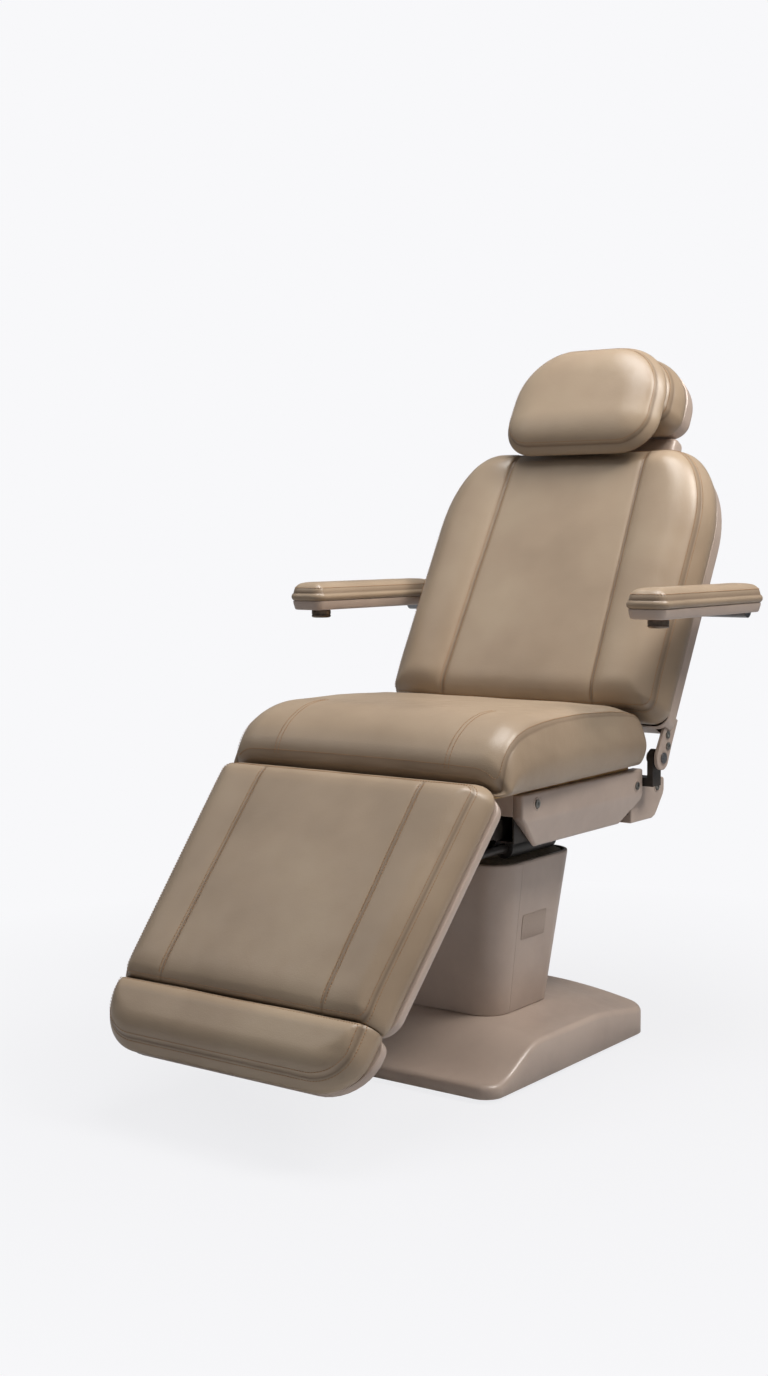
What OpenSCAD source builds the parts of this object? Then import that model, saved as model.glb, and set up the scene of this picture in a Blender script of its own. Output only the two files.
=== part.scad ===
// Powered examination chair: lift column, reclining back, telescoping leg rest.
// Floor at z = 0, +Y towards the back, the sitter's left at +X. Shown at its lowest.

/* [Base] */
// Width of the floor base
base_w = 494; // [420:1:560]
// Length of the floor base
base_l = 548; // [500:1:640]
// Radius of the base's corners in plan
base_corner = 36; // [28:1:60]
// Height of the cover's front lip
base_lip_h = 30; // [26:1:36]
// Height of the cover beside the column
base_crest_h = 78; // [70:1:84]
// Height of the cover's rear edge
base_rear_h = 55; // [48:1:66]
// Height at which the column shroud stands
shroud_z0 = 92; // [90:1:100]
// Thickness of the steel base plate
base_plate_t = 14; // [10:1:16]
// Height of the rubber feet
foot_h = 8; // [6:1:12]

/* [Column] */
// Height of the shroud's top
shroud_z1 = 372; // [360:1:374]
// Half width of the shroud at its bottom
shroud_hw0 = 137; // [130:1:145]
// Half width of the shroud at its top
shroud_hw1 = 167; // [155:1:175]
// Half depth of the shroud at its bottom
shroud_hd0 = 104; // [96:1:110]
// Half depth of the shroud at its top
shroud_hd1 = 130; // [122:1:136]
// Radius of the shroud's upright corners
shroud_corner = 50; // [40:1:60]
// Width of the outer lift column
column_w = 160; // [140:1:170]
// Depth of the outer lift column
column_d = 140; // [130:1:150]
// Wall of the lift columns
column_wall = 5; // [4:0.5:6]

/* [Seat frame] */
// Height of the underside of the frame rails
rail_z0 = 432; // [430:1:440]
// Height of a frame rail
rail_h = 52; // [46:1:54]
// Width of a frame rail
rail_w = 35; // [30:1:40]
// Distance from the middle to a rail's outer face
rail_out = 240; // [230:1:242]
// Distance from the middle to a side cover's outer face
cover_out = 260; // [256:1:270]
// Height of the side covers' top edge
cover_top = 518; // [510:1:518]
// Height of the side covers' bottom edge
cover_bottom = 420; // [414:1:424]
// Front end of the side covers
cover_front = -198; // [-202:1:-190]
// Rear end of the side covers
cover_rear = 225; // [210:1:227]

/* [Seat] */
// Half width of the seat cushion at its rear
seat_hw = 281; // [265:1:290]
// Half width of the seat cushion at its front
seat_hw0 = 292; // [265:1:296]
// Front face of the seat cushion
seat_front = -318; // [-322:1:-300]
// Rear face of the seat cushion
seat_rear = 226; // [214:1:227]
// Height of the seat cushion's underside
seat_z0 = 528; // [526:1:534]
// Height of the seat cushion's middle over its underside
seat_crown = 127; // [110:1:128]

/* [Back] */
// Angle of the back from level, as it stands
back_angle = 61.6; // [60:0.1:64]
// Height of the back's pivot
back_pivot_z = 538; // [534:1:542]
// Distance of the back's pivot behind the middle
back_pivot_y = 245; // [243:1:247]
// Length of the back cushion
back_len = 577; // [560:1:580]
// Widest half width of the back cushion
back_hw = 306; // [292:1:310]
// Thickness of the back cushion up to its seams
back_thick = 78; // [70:1:80]
// Depth of the back shell
shell_depth = 52; // [46:1:56]
// Wall of the moulded shells
shell_wall = 4; // [3:0.5:5]

/* [Headrest] */
// Half width of the front pillow
pillow_hw = 177; // [165:1:190]
// Height of the front pillow along the back
pillow_len = 246; // [230:1:265]
// Half width of the head cushion
head_hw = 173; // [160:1:180]
// Height of the head cushion along the back
head_len = 178; // [165:1:190]
// Travel of the headrest out of the back
head_travel = 90; // [50:1:95]

/* [Armrests] */
// Distance from the middle to an armrest's inner side
arm_in = 334; // [330:1:345]
// Width of an arm pad
arm_w = 84; // [76:1:95]
// Front end of the arm pads
arm_front = 3; // [0:1:40]
// Rear end of the arm pads
arm_rear = 412; // [408:1:420]
// Height of the underside of the arm trays
arm_z0 = 808; // [806:1:809]
// Height of an arm tray
arm_tray_h = 18; // [16:1:20]
// Thickness of an arm pad
arm_pad_h = 36; // [30:1:44]
// Diameter of the knob under each armrest
knob_d = 38; // [30:1:44]

/* [Leg rest] */
// Angle of the leg rest below level, as it stands
leg_angle = 49; // [48:0.1:50]
// Length of the leg cushion
leg_len = 448; // [430:1:449]
// Half width of the leg cushion at the seat
leg_hw1 = 290; // [270:1:296]
// Half width of the leg cushion at the foot
leg_hw0 = 272; // [260:1:280]
// Thickness of the leg cushion up to its seams
leg_thick = 50; // [44:1:52]
// Length of the foot cushion
foot_len = 108; // [90:1:120]
// Gap between the leg cushion and the foot cushion
foot_gap = 9; // [8:1:14]
// Travel of the foot section
foot_travel = 80; // [60:1:85]
// Travel of the leg rest along its arms
leg_travel = 120; // [110:1:125]

/* [Hidden] */
$fn = 48;

// Clearances and the overrun of cuts
seat_gap = 0.3;
run_gap = 0.05;
slide_gap = 0.5;
over = 1;
plate_gap = 2;

// Colours as photographed
paint = "#b8a498";
vinyl = "#a8937d";
steel = "#8f9296";
dark = "#35302c";
board = "#b08d5f";
chrome = "#c9c5be";

function lerp(a, b, t) = a + (b - a) * t;
function clamp01(t) = max(0, min(1, t));
function ease(t) = let (c = clamp01(t)) c * c * (3 - 2 * c);

// Points of an arc
function arc(cx, cy, r, a0, a1, n) =
  [for (i = [0:n]) let (a = lerp(a0, a1, i / n)) [cx + r * cos(a), cy + r * sin(a)]];

// Closed loop of a rounded rectangle with half sides a and b, with nx and ny steps per side
function round_loop(a, b, r, na, nx, ny) = concat(
  arc(a - r, b - r, r, 0, 90, na),
  [for (i = [1:nx - 1]) [lerp(a - r, r - a, i / nx), b]],
  arc(r - a, b - r, r, 90, 180, na),
  [for (i = [1:ny - 1]) [-a, lerp(b - r, r - b, i / ny)]],
  arc(r - a, r - b, r, 180, 270, na),
  [for (i = [1:nx - 1]) [lerp(r - a, a - r, i / nx), -b]],
  arc(a - r, r - b, r, 270, 360, na),
  [for (i = [1:ny - 1]) [a, lerp(r - b, b - r, i / ny)]]);

// Triangles that join loop i to the next one, each of n points
function band(i, n, last) = [for (j = [0:n - 1])
  let (k = (j + 1) % n, a = i * n, b = last ? 0 : (i + 1) * n)
  each [[a + j, b + j, b + k], [a + j, b + k, a + k]]];

// A solid skinned over loops of equal length. A ring of loops closes on itself,
// and otherwise flat ends close it.
module skin(loops, ring = false) {
  n = len(loops[0]);
  m = len(loops);
  sides = [for (i = [0:m - (ring ? 1 : 2)]) each band(i, n, i == m - 1)];
  caps = ring ? [] : [[for (j = [0:n - 1]) j], [for (j = [n - 1:-1:0]) (m - 1) * n + j]];
  polyhedron(points = [for (l = loops) each l], faces = concat(sides, caps));
}

// Rounded rectangle with half sides a and b, with true arcs
module round_rect(a, b, r) {
  square([2 * a, 2 * (b - r)], center = true);
  square([2 * (a - r), 2 * b], center = true);
  for (x = [-1, 1], y = [-1, 1]) translate([x * (a - r), y * (b - r)]) circle(r);
}

module round_block(a, b, r, h) {
  linear_extrude(h) round_rect(a, b, r);
}

// Box given by its two corners
module box(lo, hi) {
  translate(lo) cube(hi - lo);
}

// Cylinder along X from x0 to x1
module rod_x(r, x0, x1) {
  translate([x0, 0, 0]) rotate([0, 90, 0]) cylinder(r = r, h = x1 - x0);
}

module rod_y(r, y0, y1) {
  translate([0, y0, 0]) rotate([-90, 0, 0]) cylinder(r = r, h = y1 - y0);
}

// A plate across X, cut to an outline of [y, z] points
module side_plate(x0, x1, outline) {
  translate([x0, 0, 0]) rotate([90, 0, 90]) linear_extrude(x1 - x0) polygon(outline);
}

// Rows of a cushion's outline, each [distance along, half width]. The low and high ends
// have corners of rx by ry, nc is the steps in a corner and nm the steps between corners.
function cushion_rows(length, hw0, hw1, rx0, ry0, rx1, ry1, nc, nm) =
  let (hw = function(y) lerp(hw0, hw1, y / length))
  concat(
    [for (i = [0:nc]) let (a = 90 - 90 * i / nc, y = ry0 * (1 - sin(a)))
      [y, hw(y) - rx0 * (1 - cos(a))]],
    [for (i = [1:nm - 1]) let (y = lerp(ry0, length - ry1, i / nm)) [y, hw(y)]],
    [for (i = [0:nc]) let (a = 90 * i / nc, y = length - ry1 * (1 - sin(a)))
      [y, hw(y) - rx1 * (1 - cos(a))]]);

// The same rows drawn in by g all round
function drawn_in(rows, g) =
  let (length = rows[len(rows) - 1][0])
  [for (r = rows) [g + r[0] * (length - 2 * g) / length, r[1] - g]];

// Outline points of the rows, counterclockwise, with n columns across each end
function rim(rows, n) = let (m = len(rows) - 1) concat(
  [for (i = [0:n]) [lerp(-rows[0][1], rows[0][1], i / n), rows[0][0]]],
  [for (j = [1:m]) [rows[j][1], rows[j][0]]],
  [for (i = [1:n]) [lerp(rows[m][1], -rows[m][1], i / n), rows[m][0]]],
  [for (j = [m - 1:-1:1]) [-rows[j][1], rows[j][0]]]);

// Height of a cushion's rim above its underside, from a table of [share along, share]
function rim_z(table, share, thick) = thick * lookup(share, table);

// A cushion: drawn-in sides up to a stitched rim, then a crowned top whose panels meet in
// sewn channels. rows is the outline, side_shares the drawn-in profile as [height, inset]
// shares, rim_shares the rim's height and crown_shares the middle's height, both along
// the cushion. seam gives the channels' distance from the middle at the two ends.
module cushion(rows, thick, draw, crown, side_shares, rim_shares, crown_shares,
               seam = [0, 0], channel = 0, bolster = 0, columns = 12) {
  m = len(rows) - 1;
  length = rows[m][0];
  half = columns / 2;
  top_rows = drawn_in(rows, draw * side_shares[len(side_shares) - 1][1]);
  rim_at = function(y) rim_z(rim_shares, y / length, thick);
  side_loops = [for (s = side_shares) [for (p = rim(drawn_in(rows, draw * s[1]), columns))
    [p[0], p[1], s[0] * rim_at(p[1])]]];
  inner = function(w, y) seam[0] == 0 ? w / 2 : min(lerp(seam[0], seam[1], y / length), w * 0.9);
  column_x = function(c, w, y) let (k = inner(w, y), a = abs(c), s = sign(c))
    a <= 0.5 ? c * 2 * k : s * lerp(k, w, 2 * a - 1);
  top_z = function(c, w, y) let (a = abs(c), lo = rim_at(y),
      hi = thick + crown * lookup(y / length, crown_shares),
      dip = abs(a - 0.5) < 0.01 ? channel : 0,
      swell = a > 0.5 ? bolster * sin(180 * (2 * a - 1)) : 0)
    lo + (hi - lo) * (1 - pow(a, 4)) + (a < 1 ? swell - dip : 0);
  grid = [for (j = [1:m - 1]) let (w = top_rows[j][1], y = top_rows[j][0])
    each [for (i = [1:columns - 1]) let (c = (i - half) / half)
      [column_x(c, w, y), y, top_z(c, w, y)]]];
  n = len(side_loops[0]);
  k = len(side_loops);
  sides = [for (i = [0:k - 2]) each band(i, n, false)];
  left = function(j) j == 0 ? 0 : 2 * columns + 2 * m - j;
  right = function(j) columns + j;
  under = concat(
    [for (i = [0:columns - 1]) [left(1), i, i + 1]], [[left(1), right(0), right(1)]],
    [for (j = [1:m - 2]) each [[left(j), right(j), right(j + 1)], [left(j), right(j + 1), left(j + 1)]]],
    [for (i = [0:columns - 1]) [right(m - 1), right(m) + i, right(m) + i + 1]],
    [[right(m - 1), left(m), left(m - 1)]]);
  // Index of a top point: the last side loop holds the edge, the grid what lies within it
  at = function(i, j)
    j == 0 ? (k - 1) * n + i :
    i == columns ? (k - 1) * n + columns + j :
    j == m ? (k - 1) * n + columns + m + columns - i :
    i == 0 ? (k - 1) * n + 2 * columns + 2 * m - j :
    k * n + (j - 1) * (columns - 1) + i - 1;
  top = [for (j = [0:m - 1], i = [0:columns - 1])
    each [[at(i, j), at(i, j + 1), at(i + 1, j + 1)], [at(i, j), at(i + 1, j + 1), at(i + 1, j)]]];
  polyhedron(points = concat([for (l = side_loops) each l], grid),
             faces = concat(under, sides, top));
}

// Side profile of a plump cushion, from the underside to the stitched rim
plump_shares = [[0, 1.2], [0.16, 0.35], [0.45, 0], [0.8, 0.2], [1, 0.8]];
dome_shares = [[0, 0], [0.04, 0.45], [0.12, 0.8], [0.3, 1], [0.75, 1], [0.9, 0.75], [0.97, 0.4], [1, 0]];

// Base: a cover whose top runs along Y as a lip, a rise to the crest and a fall to the rear
base_hw = base_w / 2;
base_hl = base_l / 2;
cover_wall = 4;
cover_gap = 6;
edge_r = 10;
collar_out = 4;
collar_a = shroud_hw0 + collar_out;
collar_b = shroud_hd0 + collar_out;
collar_y = 7;
rear_swell = 28;
swell_share = [0.1, 0.7];
hole_out = 14;
hole_a = column_w / 2 + hole_out;
hole_b = column_d / 2 + hole_out;
rise_share = [0.912, 0.4];
fall_share = [0.22, 1];

// Height of the cover at x, y: the rear swells upwards in its middle
function base_profile(x, y) =
  let (up = ease((y + base_hl * rise_share[0]) / (base_hl * (rise_share[0] - rise_share[1]))),
       down = ease((y - base_hl * fall_share[0]) / (base_hl * (fall_share[1] - fall_share[0]))),
       behind = ease((y - base_hl * swell_share[0]) / (base_hl * (swell_share[1] - swell_share[0]))))
  lerp(base_lip_h, base_crest_h, up) - (base_crest_h - base_rear_h) * down
  + rear_swell * behind * (1 - pow(x / base_hw, 2));

// Loop of the cover at share t from the collar to the edge, with its surface lowered by dz
function base_loop(t, dz) =
  let (a = lerp(collar_a, base_hw - edge_r, t), b = lerp(collar_b, base_hl - edge_r, t),
       r = lerp(shroud_corner, base_corner - edge_r, t), cy = lerp(collar_y, 0, ease(t)))
  [for (p = round_loop(a, b, r, 5, 4, 9)) let (y = p[1] + cy, k = pow(1 - t, 3))
    [p[0], y, lerp(base_profile(p[0], y), shroud_z0 - seat_gap, k) - dz]];

// Loop of the cover's edge, grown by g and dropped by dz from the top surface
function base_edge(g, dz) =
  [for (p = round_loop(base_hw - edge_r + g, base_hl - edge_r + g, base_corner - edge_r + g, 5, 4, 9))
    [p[0], p[1], base_profile(p[0], p[1]) - dz]];

function base_foot(g) =
  [for (p = round_loop(base_hw + g, base_hl + g, base_corner + g, 5, 4, 9)) [p[0], p[1], cover_gap]];

function flat_loop(a, b, r, cy, z) =
  [for (p = round_loop(a, b, r, 5, 4, 9)) [p[0], p[1] + cy, z]];

module base_cover() {
  outer_shares = [0, 0.1, 0.25, 0.45, 0.7, 1];
  top_z = shroud_z0 - seat_gap;
  color(paint) skin(concat(
    [flat_loop(hole_a, hole_b, cover_wall * 2, 0, top_z - cover_wall)],
    [for (i = [0:2:4]) base_loop(outer_shares[i], cover_wall)],
    [base_edge(0, cover_wall), base_foot(-cover_wall), base_foot(0)],
    [base_edge(edge_r, edge_r), base_edge(edge_r * sin(45), edge_r * (1 - cos(45)))],
    [for (i = [5:-1:0]) base_loop(outer_shares[i], 0)],
    [flat_loop(hole_a, hole_b, cover_wall * 2, 0, top_z)]), ring = true);
}

plate_in = 12;
plate_w = base_hw - plate_in;
plate_l = base_hl - plate_in;
plate_z1 = foot_h + base_plate_t;
pad_r = 22;
stud_r = 5;
stud_gap = 0.2;
foot_in = 52;
foot_x = plate_w - foot_in;
foot_y = plate_l - foot_in;

module at_feet() {
  for (x = [-1, 1], y = [-1, 1]) translate([x * foot_x, y * foot_y, 0]) children();
}

module base_plate() {
  color(dark) difference() {
    translate([0, 0, foot_h]) round_block(plate_w, plate_l, base_corner - plate_in, base_plate_t);
    at_feet() cylinder(r = stud_r + stud_gap, h = plate_z1 + over);
  }
}

module levelling_feet() {
  chamfer = foot_h / 6;
  color(dark) at_feet() {
    rotate_extrude() polygon([[0, 0], [pad_r - chamfer, 0], [pad_r, chamfer], [pad_r, foot_h],
                              [stud_r, foot_h], [stud_r, plate_z1 + stud_r], [0, plate_z1 + stud_r]]);
  }
  color(dark) rotate_extrude()
    polygon([[0, 0], [pad_r - chamfer, 0], [pad_r, chamfer], [pad_r, foot_h], [0, foot_h]]);
}

// Lift column: a fixed outer tube and a sliding inner one that carries the seat frame
column_drop = 8;
column_top = shroud_z1 - column_drop;
inner_gap = 5;
inner_w = column_w - 2 * (column_wall + inner_gap);
inner_d = column_d - 2 * (column_wall + inner_gap);
pad_t = inner_gap - seat_gap;
pad_h = 40;
carrier_t = 12;
carrier_hw = 195;
carrier_hl = 110;
lift_z0 = 8;
flange_t = 10;
flange_in = 14;

module tube(w, d, wall, z0, z1) {
  difference() {
    translate([-w / 2, -d / 2, z0]) cube([w, d, z1 - z0]);
    translate([wall - w / 2, wall - d / 2, z0 - over])
      cube([w - 2 * wall, d - 2 * wall, z1 - z0 + 2 * over]);
  }
}

// Outer tube with its foot flange and the wear pads that guide the inner tube
module column_outer() {
  iw = column_w - 2 * column_wall;
  id = column_d - 2 * column_wall;
  color(steel) {
    tube(column_w, column_d, column_wall, plate_z1, column_top);
    tube(column_w + 2 * flange_in, column_d + 2 * flange_in, flange_in + column_wall / 2,
         plate_z1, plate_z1 + flange_t);
    tube(iw + over, id + over, pad_t + over / 2, column_top - pad_h, column_top);
  }
}

module column_inner() {
  color(chrome) {
    tube(inner_w, inner_d, column_wall, plate_z1 + lift_z0, rail_z0 - carrier_t);
    box([-carrier_hw, -carrier_hl, rail_z0 - carrier_t], [carrier_hw, carrier_hl, rail_z0]);
  }
}

// Lift actuator: motor block and tube on the base plate, with the rod sliding inside
lift_tube_r = 26;
lift_bore_r = 18;
lift_rod_r = lift_bore_r - run_gap;
lift_motor = 84;
lift_motor_h = 46;
lift_tube_z1 = 340;

module lift_actuator() {
  color(dark) difference() {
    union() {
      translate([-lift_motor / 2, -lift_motor / 2, plate_z1]) cube([lift_motor, lift_motor, lift_motor_h]);
      translate([0, 0, plate_z1]) cylinder(r = lift_tube_r, h = lift_tube_z1 - plate_z1);
    }
    translate([0, 0, plate_z1 + lift_z0]) cylinder(r = lift_bore_r, h = lift_tube_z1);
  }
}

module lift_rod() {
  z0 = plate_z1 + 2 * lift_z0;
  color(chrome) translate([0, 0, z0]) cylinder(r = lift_rod_r, h = rail_z0 - carrier_t - z0);
}

// Column shroud: a tapered skin in two halves that part along each side
shroud_wall = 4;
shroud_seam_y = -46;
shroud_split = 0.6;
shroud_lean = 14;
shroud_rim = 5;

function shroud_at(z) = (z - shroud_z0) / (shroud_z1 - shroud_z0);

// Half of the shroud's loop at height z, drawn in by g; side is -1 in front and 1 behind
function shroud_path(z, g, side) =
  let (t = shroud_at(z), a = lerp(shroud_hw0, shroud_hw1, t) - g, b = lerp(shroud_hd0, shroud_hd1, t) - g,
       r = shroud_corner - g, cy = lerp(collar_y, shroud_lean, t),
       ys = shroud_seam_y + side * shroud_split / 2)
  side < 0 ?
    concat([[-a, ys, z]], [for (p = arc(r - a, cy + r - b, r, 180, 270, 6)) [p[0], min(p[1], ys), z]],
           [for (p = arc(a - r, cy + r - b, r, 270, 360, 6)) [p[0], min(p[1], ys), z]], [[a, ys, z]]) :
    concat([[a, ys, z]], [for (p = arc(a - r, cy + b - r, r, 0, 90, 6)) [p[0], p[1], z]],
           [for (p = arc(r - a, cy + b - r, r, 90, 180, 6)) [p[0], p[1], z]], [[-a, ys, z]]);

function reversed(list) = [for (i = [len(list) - 1:-1:0]) list[i]];

shroud_levels = [[shroud_z0, 0], [shroud_z1 - shroud_rim, 0], [shroud_z1, shroud_rim / 2]];

// Sections through the shroud's wall, one at each point of its path
module shroud_half(side) {
  outer = [for (k = shroud_levels) shroud_path(k[0], k[1], side)];
  inner = [for (k = shroud_levels) shroud_path(k[0], k[1] + shroud_wall, side)];
  color(paint) skin([for (i = [0:len(outer[0]) - 1])
    concat([for (k = inner) k[i]], [for (k = reversed(outer)) k[i]])]);
}

module column_shroud_front() {
  shroud_half(-1);
}

module column_shroud_rear() {
  shroud_half(1);
}

// Blank plate on the shroud's side, lying on its slope
blank_w = 80;
blank_h = 46;
blank_t = 0.8;
blank_y = 9;
blank_z = 248;

module blank_plate() {
  slope = atan2(shroud_hw1 - shroud_hw0, shroud_z1 - shroud_z0);
  x = lerp(shroud_hw0, shroud_hw1, shroud_at(blank_z));
  color(steel) translate([x, blank_y, blank_z]) rotate([0, slope, 0])
    translate([seat_gap / 3, -blank_w / 2, -blank_h / 2]) cube([blank_t, blank_w, blank_h]);
}

// Boot: a folded skirt from the shroud's rim up to the carrier plate
boot_folds = 5;
boot_neck = 12;
boot_wall = 3;
boot_gap = 1;

function boot_loop(t, g) =
  let (z0 = shroud_z1 - 2 * shroud_rim, z1 = rail_z0 - carrier_t - boot_gap,
       hang = pow(1 - t, 2.4),
       a = lerp(inner_w / 2 + boot_neck + boot_wall, shroud_hw1 - shroud_wall - shroud_rim, hang) - g,
       b = lerp(inner_d / 2 + boot_neck + boot_wall, shroud_hd1 - shroud_wall - shroud_rim, hang) - g)
  [for (p = round_loop(a, b, shroud_corner - shroud_wall - g - 4 * boot_wall * t, 4, 2, 2))
    [p[0], p[1] + lerp(shroud_lean, 0, t), lerp(z0, z1, t)]];

module boot() {
  fold_shares = [for (i = [0:2 * boot_folds]) i / (2 * boot_folds)];
  ripple = function(i) i % 2 == 0 ? 0 : boot_wall;
  color(dark) skin(concat(
    [for (i = [0:2 * boot_folds]) boot_loop(fold_shares[i], ripple(i))],
    [for (i = [2 * boot_folds:-1:0]) boot_loop(fold_shares[i], ripple(i) + boot_wall)]), ring = true);
}

// Seat frame: two rails, cross members, pivot brackets for the back, bearings for the leg rest
rail_in = rail_out - rail_w;
front_cover_t = 4;
rail_front = cover_front + front_cover_t + seat_gap;
rail_rear = 298;
rail_wall = 3;
cross_y = [-150, 20, 190];
cross_w = 30;
bracket_x0 = 266;
bracket_t = 12;
bracket_x1 = bracket_x0 + bracket_t;
bracket_w = 32;
bracket_r = 16;
pin_r = 8;
leg_axis_y = -212;
leg_axis_z = 455;
shaft_r = 12.5;
bearing_t = 12;
bearing_x = rail_in;
bearing_r = 16;

module leg_bearings() {
  for (s = [-1, 1]) {
    x0 = s > 0 ? bearing_x : -bearing_x - bearing_t;
    box([x0, leg_axis_y, leg_axis_z - bearing_r], [x0 + bearing_t, rail_front, leg_axis_z + bearing_r]);
    translate([0, leg_axis_y, leg_axis_z]) rod_x(bearing_r, x0, x0 + bearing_t);
  }
}

module back_brackets() {
  z0 = rail_z0 + rail_h;
  lip = bracket_r;
  for (s = [-1, 1]) scale([s, 1, 1]) {
    box([rail_in, back_pivot_y - bracket_w / 2, z0],
        [bracket_x1, back_pivot_y + bracket_w / 2, z0 + lip]);
    box([bracket_x0, back_pivot_y - bracket_w / 2, z0],
        [bracket_x1, back_pivot_y + bracket_w / 2, back_pivot_z]);
    translate([0, back_pivot_y, back_pivot_z]) rod_x(bracket_r, bracket_x0, bracket_x1);
  }
}

module seat_frame() {
  color(dark) difference() {
    union() {
      for (s = [-1, 1]) translate([s * (rail_out - rail_w / 2), 0, 0]) rotate([-90, 0, 0])
        translate([0, -rail_z0 - rail_h / 2, 0]) tube(rail_w, rail_h, rail_wall, rail_front, rail_rear);
      for (y = cross_y)
        box([-rail_out, y - cross_w / 2, rail_z0 + rail_h],
            [rail_out, y + cross_w / 2, seat_z0 - board_t - seat_gap]);
      leg_bearings();
      back_brackets();
    }
    translate([0, leg_axis_y, leg_axis_z]) rod_x(shaft_r + run_gap, -rail_out, rail_out);
    translate([0, back_pivot_y, back_pivot_z]) {
      rod_x(pin_r + run_gap, -bracket_x1 - over, -bracket_x0 + over);
      rod_x(pin_r + run_gap, bracket_x0 - over, bracket_x1 + over);
    }
  }
}

// Side covers: a skin with a bevelled lower band
cover_skin = 3;
cover_bevel = 15;
cover_crease = 471;
cover_knee_front = 477;
cover_knee_rear = 460;
cover_low_front = -134;
cover_low_rear = 161;
cover_in = rail_out + seat_gap;

function cover_outline(g) = [
  [cover_front + g, cover_top - g], [cover_front + g, cover_knee_front + g / 2],
  [cover_low_front + g / 2, cover_bottom + g], [cover_low_rear - g / 2, cover_bottom + g],
  [cover_rear - g, cover_knee_rear + g / 2], [cover_rear - g, cover_top - g]];

module cover_form(g) {
  bevel = atan2(cover_bevel, cover_crease - cover_bottom);
  difference() {
    side_plate(cover_in - (g > 0 ? over : 0), cover_out - g, cover_outline(g));
    translate([cover_out - g, 0, cover_crease]) rotate([0, bevel, 0])
      box([0, cover_front - over, -cover_crease], [cover_out, cover_rear + over, 0]);
  }
}

module side_cover(s) {
  color(paint) scale([s, 1, 1]) difference() {
    cover_form(0);
    cover_form(cover_skin);
  }
}

module side_cover_left() {
  side_cover(1);
}

module side_cover_right() {
  side_cover(-1);
}

// Countersunk screw heads on both side covers and both rear covers
screw_r = 7;
screw_h = 2.5;
cover_screw_yz = [[-152, 498], [201, 488]];

module screw_head(x, y, z) {
  translate([x, y, z]) rotate([0, 90, 0]) difference() {
    cylinder(r = screw_r, h = screw_h);
    translate([0, 0, screw_h / 2]) cylinder(r = screw_r / 2, h = screw_h, $fn = 6);
  }
}

module cover_screws() {
  color(steel) for (s = [-1, 1]) scale([s, 1, 1]) {
    for (p = cover_screw_yz) screw_head(cover_out, p[0], p[1]);
    screw_head(rear_out, box_screw_y, box_screw_z);
  }
}

front_cover_h = 39;

module front_cover() {
  color(paint)
    box([-cover_in, cover_front, cover_top - front_cover_h], [cover_in, rail_front - seat_gap, cover_top]);
}

// Rear covers: boxes over the rails' rear ends, with the lower rear corner cut off
rear_out = 246;
rear_skin = 3;
rear_top = 490;
rear_end = 336;
rear_low = 415;
rear_tail = 296;
rear_front = 266;
rear_chin = 212;
box_screw_y = 306;
box_screw_z = 474;

function rear_outline(g) = [
  [rear_chin + g, rear_low + g], [rear_tail - g / 2, rear_low + g],
  [rear_end - g, lerp(rear_low, rear_top, 0.62) + g / 2], [rear_end - g, rear_top - g],
  [rear_front - (g > 0 ? over : 0), rear_top - g],
  [rear_front - (g > 0 ? over : 0), rail_z0 - plate_gap - g / 3],
  [rear_chin + g, rail_z0 - plate_gap - g / 3]];

module rear_cover(s) {
  color(paint) scale([s, 1, 1]) difference() {
    side_plate(rail_in - 2 * rear_skin, rear_out, rear_outline(0));
    side_plate(rail_in - rear_skin, rear_out - rear_skin, rear_outline(rear_skin));
  }
}

module rear_cover_left() {
  rear_cover(1);
}

module rear_cover_right() {
  rear_cover(-1);
}

// Seat board on the frame, and the cushion on it
board_t = 9;
board_front = -280;
board_rear = 205;
board_hw = 250;

module seat_board() {
  y = (board_front + board_rear) / 2;
  color(board) translate([0, y, seat_z0 - board_t])
    round_block(board_hw, (board_rear - board_front) / 2, board_t * 3, board_t);
}

seat_thick = 106;
seat_draw = 15;
seat_corner_x = 50;
seat_toe_y = 36;
seat_heel_y = 46;
seat_len = seat_rear - seat_front;
seat_side_shares = [[0, 1.2], [0.16, 0.75], [0.45, 0.35], [0.8, 0], [1, 0.3]];
seat_rim_shares = [[0, 0.5], [0.05, 0.68], [0.16, 0.88], [0.36, 0.98], [0.6, 1], [0.85, 0.88], [0.95, 0.7],
                   [1, 0.52]];
seat_crown_shares = [[0, -2.8], [0.02, -1.6], [0.06, -0.5], [0.14, 0.3], [0.3, 0.9], [0.5, 1], [0.7, 0.8],
                     [0.85, 0.06], [0.93, -0.8], [0.98, -1.75], [1, -2.4]];

seat_rows = cushion_rows(seat_len, seat_hw0, seat_hw, seat_corner_x, seat_toe_y, seat_corner_x,
                         seat_heel_y, 4, 7);

module seat_cushion() {
  color(vinyl) translate([0, seat_front, seat_z0 + seat_gap])
    cushion(seat_rows, seat_thick, seat_draw, seat_crown - seat_thick, seat_side_shares,
            seat_rim_shares, seat_crown_shares);
}

// Pins that the back turns on, with their heads outside the hinge plates
hinge_x0 = 283;
hinge_t = 8;
hinge_x1 = hinge_x0 + hinge_t;

module back_pivot_pins() {
  color(steel) for (s = [-1, 1]) scale([s, 1, 1]) translate([0, back_pivot_y, back_pivot_z]) {
    rod_x(pin_r, bracket_x0 - 2 * screw_h, hinge_x1 + seat_gap);
    rod_x(pin_r + screw_h, hinge_x1 + seat_gap, hinge_x1 + seat_gap + screw_h);
    rod_x(pin_r + screw_h, bracket_x0 - 2 * screw_h, bracket_x0 - seat_gap);
  }
}

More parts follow.
